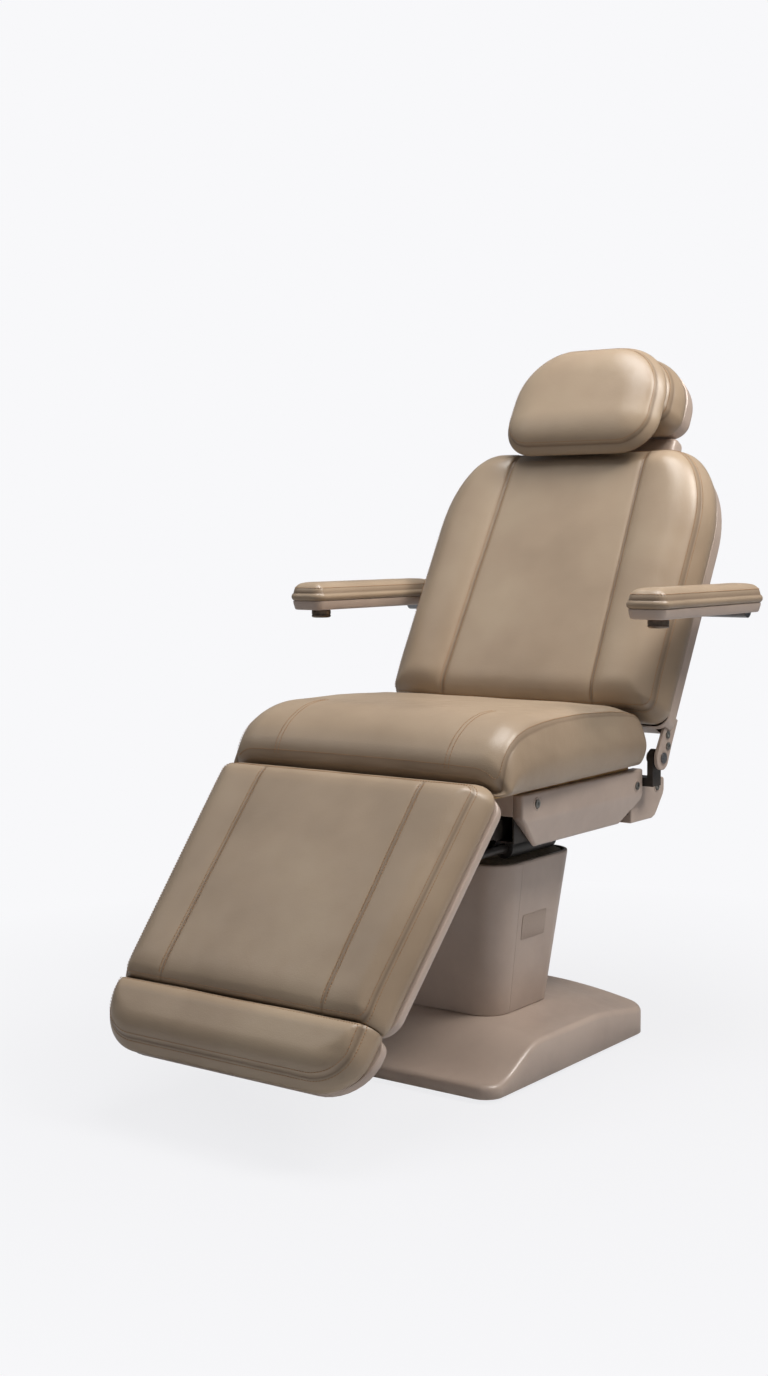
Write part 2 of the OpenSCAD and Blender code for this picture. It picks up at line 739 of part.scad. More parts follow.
// Drives: a fixed housing and a rod with a slotted yoke that moves the lever's pin
lever_back_r = 90;
lever_back_swing = back_angle / 2;
yoke_z = back_pivot_z - lever_back_r * (1 + cos(lever_back_swing)) / 2;
yoke_y = back_pivot_y + lever_back_r * sin(lever_back_swing);
lever_leg_r = 60;
lever_leg_swing = leg_angle / 2;
leg_yoke_x = 140;
leg_yoke_z = leg_axis_z - lever_leg_r * (1 + cos(lever_leg_swing)) / 2;
leg_yoke_y = leg_axis_y + lever_leg_r * sin(lever_leg_swing);
lever_pin_r = 6;
yoke_play = 1.6;
yoke_t = 14;
yoke_wall = 8;
drive_rod_r = 9;
drive_r = 19;
drive_len = 150;
drive_motor_r = 17;

module yoke(x, y, z, rise) {
  h = rise + lever_pin_r + yoke_play + yoke_wall;
  w = lever_pin_r + yoke_play + yoke_wall;
  slot_h = rise + lever_pin_r + yoke_play;
  slot_w = lever_pin_r + yoke_play;
  translate([x, y, z]) difference() {
    translate([-yoke_t / 2, -w, -h]) cube([yoke_t, 2 * w, 2 * h]);
    translate([-yoke_t, -slot_w, -slot_h]) cube([2 * yoke_t, 2 * slot_w, 2 * slot_h]);
  }
}

back_rise = lever_back_r * (1 - cos(lever_back_swing)) / 2;
leg_rise = lever_leg_r * (1 - cos(lever_leg_swing)) / 2;
back_house_y1 = 70;
leg_house_y0 = -70;

module back_rod() {
  w = lever_pin_r + yoke_play + yoke_wall;
  color(chrome) {
    yoke(0, yoke_y, yoke_z, back_rise);
    translate([0, 0, yoke_z]) rod_y(drive_rod_r, back_house_y1 - drive_r, yoke_y - w + seat_gap);
  }
}

module leg_rod() {
  w = lever_pin_r + yoke_play + yoke_wall;
  color(chrome) {
    yoke(leg_yoke_x, leg_yoke_y, leg_yoke_z, leg_rise);
    translate([leg_yoke_x, 0, leg_yoke_z])
      rod_y(drive_rod_r, leg_yoke_y + w - seat_gap, leg_house_y0 + drive_len - 2 * drive_r);
  }
}

// Housing of a drive from y0 to y1, with its rod leaving at the end named by open
module drive_house(x, z, y0, y1, open) {
  bore0 = open > 0 ? y0 + drive_r : y0 - over;
  bore1 = open > 0 ? y1 + over : y1 - drive_r;
  difference() {
    translate([x, 0, z]) rod_y(drive_r, y0, y1);
    translate([x, 0, z]) rod_y(drive_rod_r + run_gap, bore0, bore1);
  }
}

// The back drive stands on the carrier plate, its motor beside it
module back_actuator() {
  y0 = back_house_y1 - drive_len;
  color(dark) {
    drive_house(0, yoke_z, y0, back_house_y1, 1);
    translate([drive_r + drive_motor_r - screw_h, 0, yoke_z]) rod_y(drive_motor_r, y0, y0 + drive_len / 2);
    box([-drive_r / 2, y0 + drive_r / 2, rail_z0], [drive_r / 2, y0 + drive_r, yoke_z - drive_r + over]);
    box([-drive_r / 2, back_house_y1 - drive_r, rail_z0],
        [drive_r / 2, back_house_y1 - drive_r / 2, yoke_z - drive_r + over]);
  }
}

// The leg drive hangs below the carrier plate
module leg_actuator() {
  y1 = leg_house_y0 + drive_len;
  lug = 2 * drive_r;
  color(dark) {
    drive_house(leg_yoke_x, leg_yoke_z, leg_house_y0, y1, -1);
    box([leg_yoke_x - drive_r / 2, y1 - lug, leg_yoke_z + drive_r - over],
        [leg_yoke_x + drive_r / 2, y1 - drive_r, rail_z0 - carrier_t]);
    box([leg_yoke_x - drive_r / 2, leg_house_y0 + drive_r / 2, leg_yoke_z + drive_r - over],
        [leg_yoke_x + drive_r / 2, leg_house_y0 + drive_r, rail_z0 - carrier_t]);
  }
}

// Control box on the carrier plate, with the blind socket for its supply lead
control_w = 90;
control_l = 130;
control_h = 40;
control_x = -150;
socket_w = 26;
socket_h = 18;

module control_box() {
  z = rail_z0 + seat_gap / 3;
  color(dark) difference() {
    translate([control_x - control_w / 2, -control_l / 2, z]) cube([control_w, control_l, control_h]);
    translate([control_x - socket_w / 2, control_l / 2 - socket_h, z + control_h / 4])
      cube([socket_w, socket_h + over, socket_h]);
  }
}

// The back's own frame: X across, Y up along the back, Z out towards the sitter.
// Its origin lies on the cushion's seam plane, back_drop in front of the pivot.
back_drop = 114.8;
back_foot = 56.1;

module on_back() {
  translate([0, back_pivot_y, back_pivot_z]) rotate([back_angle, 0, 0])
    translate([0, back_foot, back_drop]) children();
}

back_board_t = 10;
back_under = -back_thick - seat_gap;
shell_step_n = 3;
shell_front = back_under - shell_step_n;
shell_back = shell_front - shell_depth;
frame_z1 = back_under - back_board_t - seat_gap;
frame_t = 25;
frame_z0 = frame_z1 - frame_t;
side_rail_x0 = 252;
side_rail_x1 = 274;
side_rail_s0 = 17;
side_rail_s1 = 330;
back_s0 = -10;
back_s1 = back_s0 + back_len;
back_cross_s = [30, 200, 318];
back_cross_w = 26;
lever_t = 12;
lever_gap = 0.4;
lever_slot = yoke_t / 2 + lever_gap + lever_t + plate_gap;

// Lever from the lowest cross member down to its pin in the yoke, cut to run beside it
module back_lever() {
  pin_y = yoke_y;
  pin_z = back_pivot_z - lever_back_r * cos(lever_back_swing);
  x0 = yoke_t / 2 + lever_gap;
  color(dark) for (s = [-1, 1]) scale([s, 1, 1]) {
    translate([x0, 0, 0]) rotate([90, 0, 90]) linear_extrude(lever_t) hull() {
      translate([pin_y, pin_z]) circle(2 * lever_pin_r);
      translate(back_point(back_cross_s[0], frame_z1 - frame_t / 2)) circle(2 * lever_pin_r);
    }
  }
  translate([0, pin_y, pin_z]) rod_x(lever_pin_r, -x0 - lever_t, x0 + lever_t);
}

// World [y, z] of a point given along the back and out of it
function back_point(s, n) =
  let (u = s + back_foot, v = n + back_drop)
  [back_pivot_y + u * cos(back_angle) - v * sin(back_angle),
   back_pivot_z + u * sin(back_angle) + v * cos(back_angle)];

sleeve_in = 37;
sleeve_l = 138;
sleeve_s1 = back_s1 - sleeve_in;
sleeve_s0 = sleeve_s1 - sleeve_l;
stem_x = 70;
stem_w = 30;
stem_t = 20;
stem_play = 3;
sleeve_wall = 4;
axle_r = 8;
axle_y = 388;
axle_z = 811;
axle_s = (axle_y - back_pivot_y) * cos(back_angle) + (axle_z - back_pivot_z) * sin(back_angle) - back_foot;
axle_n = -(axle_y - back_pivot_y) * sin(back_angle) + (axle_z - back_pivot_z) * cos(back_angle) - back_drop;

module back_frame() {
  color(dark) union() {
    on_back() {
      for (s = [-1, 1]) scale([s, 1, 1])
        {
          box([side_rail_x0, side_rail_s0, frame_z0], [side_rail_x1, side_rail_s1, frame_z1]);
          box([side_rail_x0, side_rail_s0, frame_z0],
              [hinge_x0 - seat_gap, plate_reach, frame_z1 - plate_gap]);
        }
      for (s = back_cross_s)
        box([-side_rail_x0, s - back_cross_w / 2, frame_z0],
            [side_rail_x0, s + back_cross_w / 2, frame_z1]);
      for (s = [-1, 1])
        translate([s * stem_x - back_cross_w / 2, back_cross_s[2], frame_z0 + frame_t / 4])
          cube([back_cross_w, sleeve_s0 - back_cross_s[2], frame_t / 2]);
    }
    back_lever();
  }
}

// Hinge plates: from the pivot up beside the frame, inside the shell's lower end
plate_reach = 30;
plate_half = 23;
plate_arm = 20;

module hinge_plate(s) {
  color(paint) scale([s, 1, 1]) difference() {
    union() {
      translate([0, back_pivot_y, back_pivot_z]) rod_x(plate_half, hinge_x0, hinge_x1);
      on_back() box([hinge_x0, -back_foot, -back_drop - plate_arm],
                    [hinge_x1, plate_reach, -back_drop + plate_arm]);
    }
    translate([0, back_pivot_y, back_pivot_z]) rod_x(pin_r + run_gap, hinge_x0 - over, hinge_x1 + over);
  }
}

module hinge_plate_left() {
  hinge_plate(1);
}

module hinge_plate_right() {
  hinge_plate(-1);
}

screw_pitch = 18;

module plate_screws() {
  color(steel) for (s = [-1, 1]) scale([s, 1, 1]) on_back() for (i = [0, 1])
    screw_head(hinge_x1, -back_foot * 0.52 + screw_pitch * i, -back_drop + (i - 0.5) * plate_half / 2);
}

// Outline of the back: straight sides that swell a little, and wide rounded shoulders
shoulder_x = 118;
shoulder_y = 190;
back_toe = 24;
low_share = 0.3;
back_hw0 = 305;

back_rows = cushion_rows(back_len, back_hw0, back_hw, back_toe, back_toe, shoulder_x, shoulder_y, 6, 6);

// Loop of the shell, drawn in by g, though by less at its lower end
function shell_loop(g, z) =
  [for (p = rim([for (r = back_rows)
                 let (t = r[0] / back_len) [t * (back_len - g) + (1 - t) * g * low_share, r[1] - g]], 1))
    [p[0], p[1] + back_s0, z]];

shell_inset = 5;
shell_round = [[0, 0], [0.55, 2], [0.85, 12], [1, 34]];

module back_shell() {
  outer = [for (k = shell_round) shell_loop(shell_inset + k[1], shell_front - shell_depth * k[0])];
  inner = [for (k = reversed(shell_round))
    shell_loop(shell_inset + k[1] + shell_wall, shell_front - (shell_depth - shell_wall) * k[0])];
  color(paint) difference() {
    on_back() skin(concat(reversed(outer), reversed(inner)));
    on_back() for (s = [-1, 1])
      translate([s * stem_x - stem_w / 2 - stem_play, sleeve_s1, stem_z0 - stem_play])
        cube([stem_w + 2 * stem_play, back_len - sleeve_s1, stem_t + 2 * stem_play]);
    on_back() translate([0, axle_s, axle_n]) for (s = [-1, 1])
      rod_x(axle_flange_r, s > 0 ? hinge_x0 - over : -back_hw - over,
            s > 0 ? back_hw + over : over - hinge_x0);
    on_back() box([-lever_slot, back_s0, shell_back - over], [lever_slot, back_cross_s[0], frame_z1]);
    on_back() for (s = [-1, 1]) scale([s, 1, 1])
      box([side_rail_x1, back_s0, -back_drop - plate_half - plate_gap],
          [hinge_x1 + plate_gap, plate_reach + plate_gap, -back_drop + plate_half + plate_gap]);
  }
}

module back_board() {
  color(board) on_back() translate([0, back_s0, back_under - back_board_t])
    linear_extrude(back_board_t) polygon(rim(drawn_in(back_rows, 6 * shell_inset), 1));
}

back_seam = [171, 151];
back_draw = 12;
back_crown = 8;
back_channel = 3;
back_bolster = 5;
back_crown_shares = [[0, -3.9], [0.02, -1.6], [0.06, 0], [0.2, 1], [0.7, 1], [0.9, 0.2], [0.95, -0.5],
                     [0.98, -1.4], [1, -2.7]];
back_rim_shares = [[0, 0.6], [0.05, 0.86], [0.15, 0.95], [0.85, 0.94], [0.95, 0.84], [1, 0.72]];

module back_cushion() {
  color(vinyl) on_back() translate([0, back_s0, -back_thick])
    cushion(back_rows, back_thick, back_draw, back_crown, plump_shares, back_rim_shares, back_crown_shares,
            seam = back_seam, channel = back_channel, bolster = back_bolster, columns = 16);
}

// Two flat stems carry the headrest in sleeves behind the back board
stem_drop = 8;
stem_z0 = frame_z0 - stem_drop;
neck_gap = 2;
neck_l = 59;
stem_s0 = sleeve_s0 + 2 * shell_wall;
neck_s0 = back_s1 + neck_gap;
neck_s1 = neck_s0 + neck_l;
neck_hw = 155;
neck_z1 = -92;
neck_z0 = -132;

module stem_sleeves() {
  color(steel) on_back() for (s = [-1, 1])
    translate([s * stem_x, 0, stem_z0 + stem_t / 2]) rotate([-90, 0, 0])
      tube(stem_w + 2 * (seat_gap + sleeve_wall), stem_t + 2 * (seat_gap + sleeve_wall), sleeve_wall,
           sleeve_s0, sleeve_s1);
}

module head_stems() {
  color(chrome) on_back() for (s = [-1, 1])
    box([s * stem_x - stem_w / 2, stem_s0, stem_z0],
        [s * stem_x + stem_w / 2, neck_s1 - 2 * shell_wall, stem_z0 + stem_t]);
}

// Axles for the armrests, screwed into the frame through the shell's sides
axle_flange_r = 16;
hub_x0 = 309;
hub_x1 = 392;
hub_r = 14;

module arm_axles() {
  color(steel) for (s = [-1, 1]) scale([s, 1, 1]) translate([0, axle_y, axle_z]) {
    rod_x(axle_r, hinge_x0, hub_x1 - hub_r);
    rod_x(axle_flange_r - plate_gap, hinge_x0, hub_x0 - seat_gap);
  }
}

// Neck cover over the stems, with a tongue that carries the head's pin
tongue_hw = 38;
tongue_z1 = -100;
tongue_z0 = -124;
head_pin_rise = 62;
head_pin_s = neck_s1 + head_pin_rise;
head_pin_z = (tongue_z0 + tongue_z1) / 2;
head_pin_r = 6;
ear_t = 10;
ear_gap = 0.5;
tongue_r = (tongue_z1 - tongue_z0) / 2;

module neck_cover() {
  color(paint) on_back() difference() {
    union() {
      difference() {
        box([-neck_hw, neck_s0, neck_z0], [neck_hw, neck_s1, neck_z1]);
        box([-neck_hw + shell_wall, neck_s0 - over, neck_z0 + shell_wall],
            [neck_hw - shell_wall, neck_s1 - shell_wall, neck_z1 - shell_wall]);
      }
      box([-tongue_hw, neck_s1 - shell_wall, tongue_z0], [tongue_hw, head_pin_s, tongue_z1]);
      translate([0, head_pin_s, head_pin_z]) rod_x(tongue_r, -tongue_hw, tongue_hw);
      for (s = [-1, 1]) translate([s * stem_x, 0, 0])
        box([-stem_w / 2 - plate_gap, neck_s1 - 3 * shell_wall, neck_z0 + over],
            [stem_w / 2 + plate_gap, neck_s1 - shell_wall + over, neck_z1 - over]);
    }
    translate([0, head_pin_s, head_pin_z]) rod_x(head_pin_r + run_gap, -tongue_hw - over, tongue_hw + over);
    for (s = [-1, 1])
      box([s * stem_x - stem_w / 2, neck_s0, stem_z0],
          [s * stem_x + stem_w / 2, neck_s1 - 2 * shell_wall, stem_z0 + stem_t]);
  }
}

module head_pin() {
  color(steel) on_back() translate([0, head_pin_s, head_pin_z])
    rod_x(head_pin_r, -tongue_hw - ear_gap - ear_t, tongue_hw + ear_gap + ear_t);
}

// Head shell: a rounded tray behind the head cushion, open below for the tongue
head_lap = 11;
head_s0 = neck_s1 - head_lap;
head_under = -80;
head_shell_depth = 56;
head_notch = 18;
head_notch_top = head_pin_s - head_notch;
shell_step = 14;
head_round = [[0, 0], [0.5, 3], [0.8, 14], [1, 36]];

function half_moon(length, hw, rx, ry, toe) =
  cushion_rows(length, hw, hw - toe / 10, toe, toe, rx, ry, 5, 2);

head_corner_x = 120;
head_corner_y = 118;
head_toe = 40;

function head_rows(g) = drawn_in(half_moon(head_len, head_hw, head_corner_x, head_corner_y, head_toe), g);

module head_shell() {
  low = head_s0 + shell_step;
  grow = (low - head_s0) / head_len;
  loop = function(g, z) [for (p = rim(head_rows(g), 1)) [p[0], p[1] * (1 - grow) + low, z]];
  outer = [for (k = head_round) loop(k[1], head_under - seat_gap - head_shell_depth * k[0])];
  inner = [for (k = reversed(head_round))
    loop(k[1] + shell_wall, head_under - seat_gap - (head_shell_depth - shell_wall) * k[0])];
  ear_x = tongue_hw + ear_gap;
  color(paint) on_back() difference() {
    union() {
      difference() {
        skin(concat(reversed(outer), reversed(inner)));
        box([-ear_x - ear_gap, low - over, head_under - head_shell_depth - over * 2],
            [ear_x + ear_gap, head_notch_top, tongue_z1 + 4 * over]);
      }
      for (s = [-1, 1]) scale([s, 1, 1])
        box([ear_x, head_pin_s - tongue_r, head_under - head_shell_depth + shell_wall / 2],
            [ear_x + ear_t, head_pin_s + tongue_r, head_under - 2 * shell_wall]);
    }
    translate([0, head_pin_s, head_pin_z])
      rod_x(head_pin_r + run_gap, -ear_x - ear_t - over, ear_x + ear_t + over);
  }
}

head_thick = 64;
head_crown = 21.7;
head_draw = 12;
moon_crown_shares = [[0, -0.5], [0.06, 0.4], [0.2, 0.9], [0.5, 1], [0.8, 0.7], [0.95, 0.1], [1, -0.5]];
moon_rim_shares = [[0, 0.86], [0.2, 0.94], [0.8, 0.94], [1, 0.86]];

module head_cushion() {
  color(vinyl) on_back() translate([0, head_s0, head_under])
    cushion(head_rows(0), head_thick, head_draw, head_crown, plump_shares, moon_rim_shares,
            moon_crown_shares);
}

pillow_lap = 39;
pillow_s0 = back_s1 - pillow_lap;
pillow_under = 6;
pillow_thick = 40;
pillow_crown = 15;
pillow_draw = 13;
pillow_corner_x = 125;
pillow_corner_y = 128;
pillow_toe = 76;

module head_pillow() {
  color(vinyl) on_back() translate([0, pillow_s0, pillow_under])
    cushion(half_moon(pillow_len, pillow_hw, pillow_corner_x, pillow_corner_y, pillow_toe), pillow_thick,
            pillow_draw, pillow_crown, plump_shares, moon_rim_shares, moon_crown_shares);
}

// Armrests: a steel bar with the hub, a tray round it, a pad on the tray and a knob below
bar_w = 40;
tray_wall = 3;
bar_z0 = arm_z0 + tray_wall + seat_gap;
bar_z1 = arm_z0 + arm_tray_h - tray_wall;
bar_front = 48;
tray_in = 4;
knob_y = 60;
knob_h = 16;
arm_draw = 5;
arm_mid = arm_in + arm_w / 2;
thread_r = 5;
front_r = 26;
rear_r = 20;

// Outline of an armrest in plan, drawn in by g
function arm_outline(g) =
  let (x0 = arm_in + g, x1 = arm_in + arm_w - g, y0 = arm_front + g, y1 = arm_rear - g,
       f = front_r - g / 2, b = rear_r - g / 2)
  concat(arc(x0 + f, y0 + f, f, 180, 270, 6), arc(x1 - f, y0 + f, f, 270, 360, 6),
         arc(x1 - b, y1 - b, b, 0, 90, 6), arc(x0 + b, y1 - b, b, 90, 180, 6));

module arm_bar(s) {
  color(dark) scale([s, 1, 1]) difference() {
    union() {
      translate([0, axle_y, axle_z]) rod_x(hub_r, hub_x0, hub_x1);
      box([arm_mid - bar_w / 2, bar_front, bar_z0], [arm_mid + bar_w / 2, axle_y - hub_r / 2, bar_z1]);
    }
    translate([0, axle_y, axle_z]) rod_x(axle_r + run_gap, hub_x0 - over, hub_x1 - hub_r + seat_gap);
    translate([arm_mid, knob_y, bar_z0 - over]) cylinder(r = thread_r + run_gap, h = bar_z1);
  }
}

module arm_bar_left() {
  arm_bar(1);
}

module arm_bar_right() {
  arm_bar(-1);
}

tray_low = 5;

module arm_tray(s) {
  color(paint) scale([s, 1, 1]) difference() {
    skin([for (k = [[tray_low, 0], [tray_low - tray_wall, 0.3], [0, 1]])
      [for (p = arm_outline(tray_in + k[0])) [p[0], p[1], arm_z0 + arm_tray_h * k[1]]]]);
    translate([0, 0, arm_z0 + tray_wall]) linear_extrude(arm_tray_h)
      polygon(arm_outline(tray_in + tray_low + tray_wall));
    translate([0, axle_y, axle_z]) rod_x(hub_r + slide_gap, hub_x0 - over, hub_x1 + slide_gap);
    translate([arm_mid, knob_y, arm_z0 - over]) cylinder(r = thread_r + slide_gap, h = arm_tray_h);
  }
}

module arm_tray_left() {
  arm_tray(1);
}

module arm_tray_right() {
  arm_tray(-1);
}

module arm_pad(s) {
  length = arm_rear - arm_front;
  color(vinyl) translate([s * arm_mid, arm_front, arm_z0 + arm_tray_h + seat_gap])
    cushion(cushion_rows(length, arm_w / 2, arm_w / 2, front_r, front_r * 0.8, rear_r, rear_r, 3, 4),
            arm_pad_h * 0.7, arm_draw, arm_pad_h * 0.35, plump_shares, [[0, 1], [1, 1]], dome_shares,
            columns = 8);
}

module arm_pad_left() {
  arm_pad(1);
}

module arm_pad_right() {
  arm_pad(-1);
}

module arm_knob(s) {
  lip = 2;
  r = knob_d / 2;
  color(chrome) translate([s * arm_mid, knob_y, arm_z0 - seat_gap - knob_h]) rotate_extrude()
    polygon([[0, 0], [r - lip, 0], [r, lip], [r, knob_h - lip], [r - lip, knob_h], [thread_r, knob_h],
             [thread_r, knob_h + arm_tray_h - lip * 2], [0, knob_h + arm_tray_h - lip * 2]]);
}

module arm_knob_left() {
  arm_knob(1);
}

module arm_knob_right() {
  arm_knob(-1);
}

// The leg rest's own frame: X across, Y up along the leg rest, Z out of its face.
// Its origin is the leg cushion's foot end on the seam plane, placed from the leg axis.
leg_past = 3.2;
leg_up = leg_len - leg_past;
leg_drop = 177.9;

module on_leg() {
  translate([0, leg_axis_y, leg_axis_z]) rotate([leg_angle, 0, 0])
    translate([0, -leg_up, leg_drop]) children();
}

leg_rail_x = 185;
leg_rail_w = 24;
leg_rail_z1 = -118;
leg_rail_t = 20;
leg_rail_z0 = leg_rail_z1 - leg_rail_t;
leg_rail_s0 = 60;
rail_short = 16.8;
leg_rail_s1 = leg_up - rail_short;
arm_t = 16;
leg_boss_r = 18;

module leg_shaft() {
  color(steel) translate([0, leg_axis_y, leg_axis_z])
    rod_x(shaft_r, -bearing_x - bearing_t, bearing_x + bearing_t);
}

// Arms and rails that the leg tray slides on, with the lever that its drive pushes
module leg_arms() {
  pin_y = leg_yoke_y;
  pin_z = leg_axis_z - lever_leg_r * cos(lever_leg_swing);
  axis = [-leg_drop, leg_up];
  color(dark) difference() {
    union() {
      for (s = [-1, 1]) {
        on_leg() {
          box([s * leg_rail_x - leg_rail_w / 2, leg_rail_s0, leg_rail_z0],
              [s * leg_rail_x + leg_rail_w / 2, leg_rail_s1, leg_rail_z1]);
          side_plate(s * leg_rail_x - arm_t / 2, s * leg_rail_x + arm_t / 2,
                     [[leg_rail_s1 - over, leg_rail_z1 - over],
                      [leg_up + leg_boss_r * 0.7, -leg_drop + leg_boss_r * 0.5],
                      [leg_up, -leg_drop - leg_boss_r * 0.8],
                      [leg_rail_s1 - leg_rail_w, leg_rail_z0 + over]]);
        }
        translate([0, leg_axis_y, leg_axis_z])
          rod_x(leg_boss_r, s * leg_rail_x - arm_t / 2, s * leg_rail_x + arm_t / 2);
        translate([leg_yoke_x + s * (yoke_t / 2 + lever_gap + lever_t / 2) - lever_t / 2, 0, 0])
          rotate([90, 0, 90]) linear_extrude(lever_t) hull() {
            translate([leg_axis_y, leg_axis_z]) circle(leg_boss_r);
            translate([pin_y, pin_z]) circle(2 * lever_pin_r);
          }
      }
      on_leg()
        box([-leg_rail_x, leg_rail_s0, leg_rail_z0], [leg_rail_x, leg_rail_s0 + leg_rail_w, leg_rail_z1]);
      translate([0, pin_y, pin_z])
        rod_x(lever_pin_r, leg_yoke_x - yoke_t / 2 - lever_t, leg_yoke_x + yoke_t / 2 + lever_t);
    }
    translate([0, leg_axis_y, leg_axis_z]) rod_x(shaft_r + run_gap, -bearing_x, bearing_x);
  }
}

leg_toe = 34;
leg_pad_gap = 8;
leg_under = -leg_thick - leg_pad_gap;
tray_t = 4;
tray_rim = 15;
tray_grow = 3;
tray_short = 11;

function leg_rows(short) =
  cushion_rows(leg_len - short, leg_hw0, leg_hw1, leg_toe, leg_toe, leg_toe, leg_toe, 4, 5);

function tray_loop(rows, g) = rim(drawn_in(rows, -g), 1);

module rimmed_tray(outer, inner) {
  difference() {
    linear_extrude(tray_rim) polygon(outer);
    translate([0, 0, -over]) linear_extrude(tray_rim - tray_t + over) polygon(inner);
  }
}

module leg_tray() {
  color(paint) on_leg() translate([0, 0, leg_under - seat_gap - tray_rim])
    rimmed_tray(tray_loop(leg_rows(tray_short), tray_grow),
                tray_loop(leg_rows(tray_short), tray_grow - shell_wall));
}

leg_seam = 166;
leg_crown = 12;
panel_rim_shares = [[0, 0.78], [0.06, 0.94], [0.94, 0.94], [1, 0.78]];

module leg_cushion() {
  color(vinyl) on_leg() translate([0, 0, leg_under])
    cushion(leg_rows(0), leg_thick, back_draw, leg_crown, plump_shares, panel_rim_shares, dome_shares,
            seam = [leg_seam, leg_seam], channel = back_channel, bolster = back_channel, columns = 12);
}

// Runners under the leg tray: four shoes on the rails and four guides for the foot rods
shoe_s = [262, 348];
shoe_l = 40;
shoe_wall = 6;
foot_rod_x = 110;
foot_rod_r = 7;
foot_rod_z = leg_under - tray_rim - 2 * foot_rod_r;
guide_s = [24, 150];
guide_l = 36;
guide_w = 30;

module leg_runners() {
  top = leg_under - seat_gap - tray_t;
  shoe_hw = leg_rail_w / 2 + slide_gap + shoe_wall;
  color(dark) on_leg() for (x = [-1, 1]) {
    for (y = shoe_s) translate([x * leg_rail_x, y, 0]) difference() {
      box([-shoe_hw, 0, leg_rail_z0 - slide_gap - shoe_wall], [shoe_hw, shoe_l, top]);
      box([-leg_rail_w / 2 - slide_gap, -over, leg_rail_z0 - slide_gap],
          [leg_rail_w / 2 + slide_gap, shoe_l + over, leg_rail_z1 + slide_gap]);
    }
    for (y = guide_s) translate([x * foot_rod_x, 0, 0]) difference() {
      box([-guide_w / 2, y, foot_rod_z - guide_w / 2], [guide_w / 2, y + guide_l, top]);
      translate([0, 0, foot_rod_z]) rod_y(foot_rod_r + run_gap, y - over, y + guide_l + over);
    }
  }
}

// Foot section: same width as the leg rest's end, with wide rounded lower corners
foot_s1 = -foot_gap;
foot_s0 = foot_s1 - foot_len;
foot_corner_x = 84;
foot_corner_y = 74;
foot_toe = 20;

foot_narrow = 5;
foot_tray_in = 9;

// Rows of the foot section's outline, shortened by g at its lower end
function foot_rows(g) =
  cushion_rows(foot_len - g, leg_hw0 - foot_narrow, leg_hw0 - foot_narrow, foot_corner_x, foot_corner_y,
               foot_toe, foot_toe, 5, 2);

module foot_tray() {
  rows = foot_rows(foot_tray_in);
  color(paint) on_leg() translate([0, foot_s0 + foot_tray_in, leg_under - seat_gap - tray_rim])
    rimmed_tray(tray_loop(rows, tray_grow), tray_loop(rows, tray_grow - shell_wall));
}

module foot_cushion() {
  color(vinyl) on_leg() translate([0, foot_s0, leg_under])
    cushion(foot_rows(0), leg_thick, back_draw, leg_crown, plump_shares, panel_rim_shares, dome_shares,
            columns = 10);
}

foot_rod_s1 = 290;
lug_w = 24;

module foot_rods() {
  color(chrome) on_leg() for (x = [-1, 1]) translate([x * foot_rod_x, 0, 0]) {
    translate([0, 0, foot_rod_z]) rod_y(foot_rod_r, foot_s0 + foot_len / 3, foot_rod_s1);
    box([-lug_w / 2, foot_s0 + foot_len / 3, foot_rod_z - foot_rod_r],
        [lug_w / 2, foot_s0 + foot_len * 0.7, leg_under - seat_gap - tray_t]);
  }
}

base_plate();
base_cover();
levelling_feet();
column_outer();
lift_actuator();
column_shroud_front();
column_shroud_rear();
blank_plate();
boot();
column_inner();
lift_rod();
seat_frame();
side_cover_left();
side_cover_right();
cover_screws();
front_cover();
rear_cover_left();
rear_cover_right();
seat_board();
seat_cushion();
back_pivot_pins();
back_actuator();
leg_actuator();
control_box();
back_rod();
leg_rod();
back_frame();
hinge_plate_left();
hinge_plate_right();
plate_screws();
back_shell();
back_board();
back_cushion();
stem_sleeves();
arm_axles();
head_stems();
neck_cover();
head_pin();
head_shell();
head_cushion();
head_pillow();
arm_bar_left();
arm_tray_left();
arm_pad_left();
arm_knob_left();
arm_bar_right();
arm_tray_right();
arm_pad_right();
arm_knob_right();
leg_shaft();
leg_arms();
leg_tray();
leg_cushion();
leg_runners();
foot_tray();
foot_cushion();
foot_rods();
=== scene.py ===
"""Powered examination chair: upholstery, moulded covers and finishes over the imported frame.

Lengths are in millimetres until place() turns them into metres. The back and the leg rest
each have a frame of their own: x across, s up along the panel, n out towards the sitter.
"""
import math
import bmesh
import bpy
import numpy as np
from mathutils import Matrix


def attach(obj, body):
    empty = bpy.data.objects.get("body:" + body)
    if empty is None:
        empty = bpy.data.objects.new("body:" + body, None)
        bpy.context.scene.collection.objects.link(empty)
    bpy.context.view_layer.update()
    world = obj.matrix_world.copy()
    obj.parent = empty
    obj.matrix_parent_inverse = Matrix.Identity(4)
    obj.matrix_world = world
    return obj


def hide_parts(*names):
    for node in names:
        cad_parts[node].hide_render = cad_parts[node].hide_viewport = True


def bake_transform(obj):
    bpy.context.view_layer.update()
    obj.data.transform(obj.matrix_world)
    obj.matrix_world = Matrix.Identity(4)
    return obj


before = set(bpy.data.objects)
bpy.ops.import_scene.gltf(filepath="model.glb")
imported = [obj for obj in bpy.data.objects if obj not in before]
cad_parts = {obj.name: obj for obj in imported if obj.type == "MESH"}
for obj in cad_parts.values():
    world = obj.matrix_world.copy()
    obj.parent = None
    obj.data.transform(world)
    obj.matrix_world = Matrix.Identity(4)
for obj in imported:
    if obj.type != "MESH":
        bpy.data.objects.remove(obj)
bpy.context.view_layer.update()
MM = 0.001
SIDES = (("left", 1), ("right", -1))

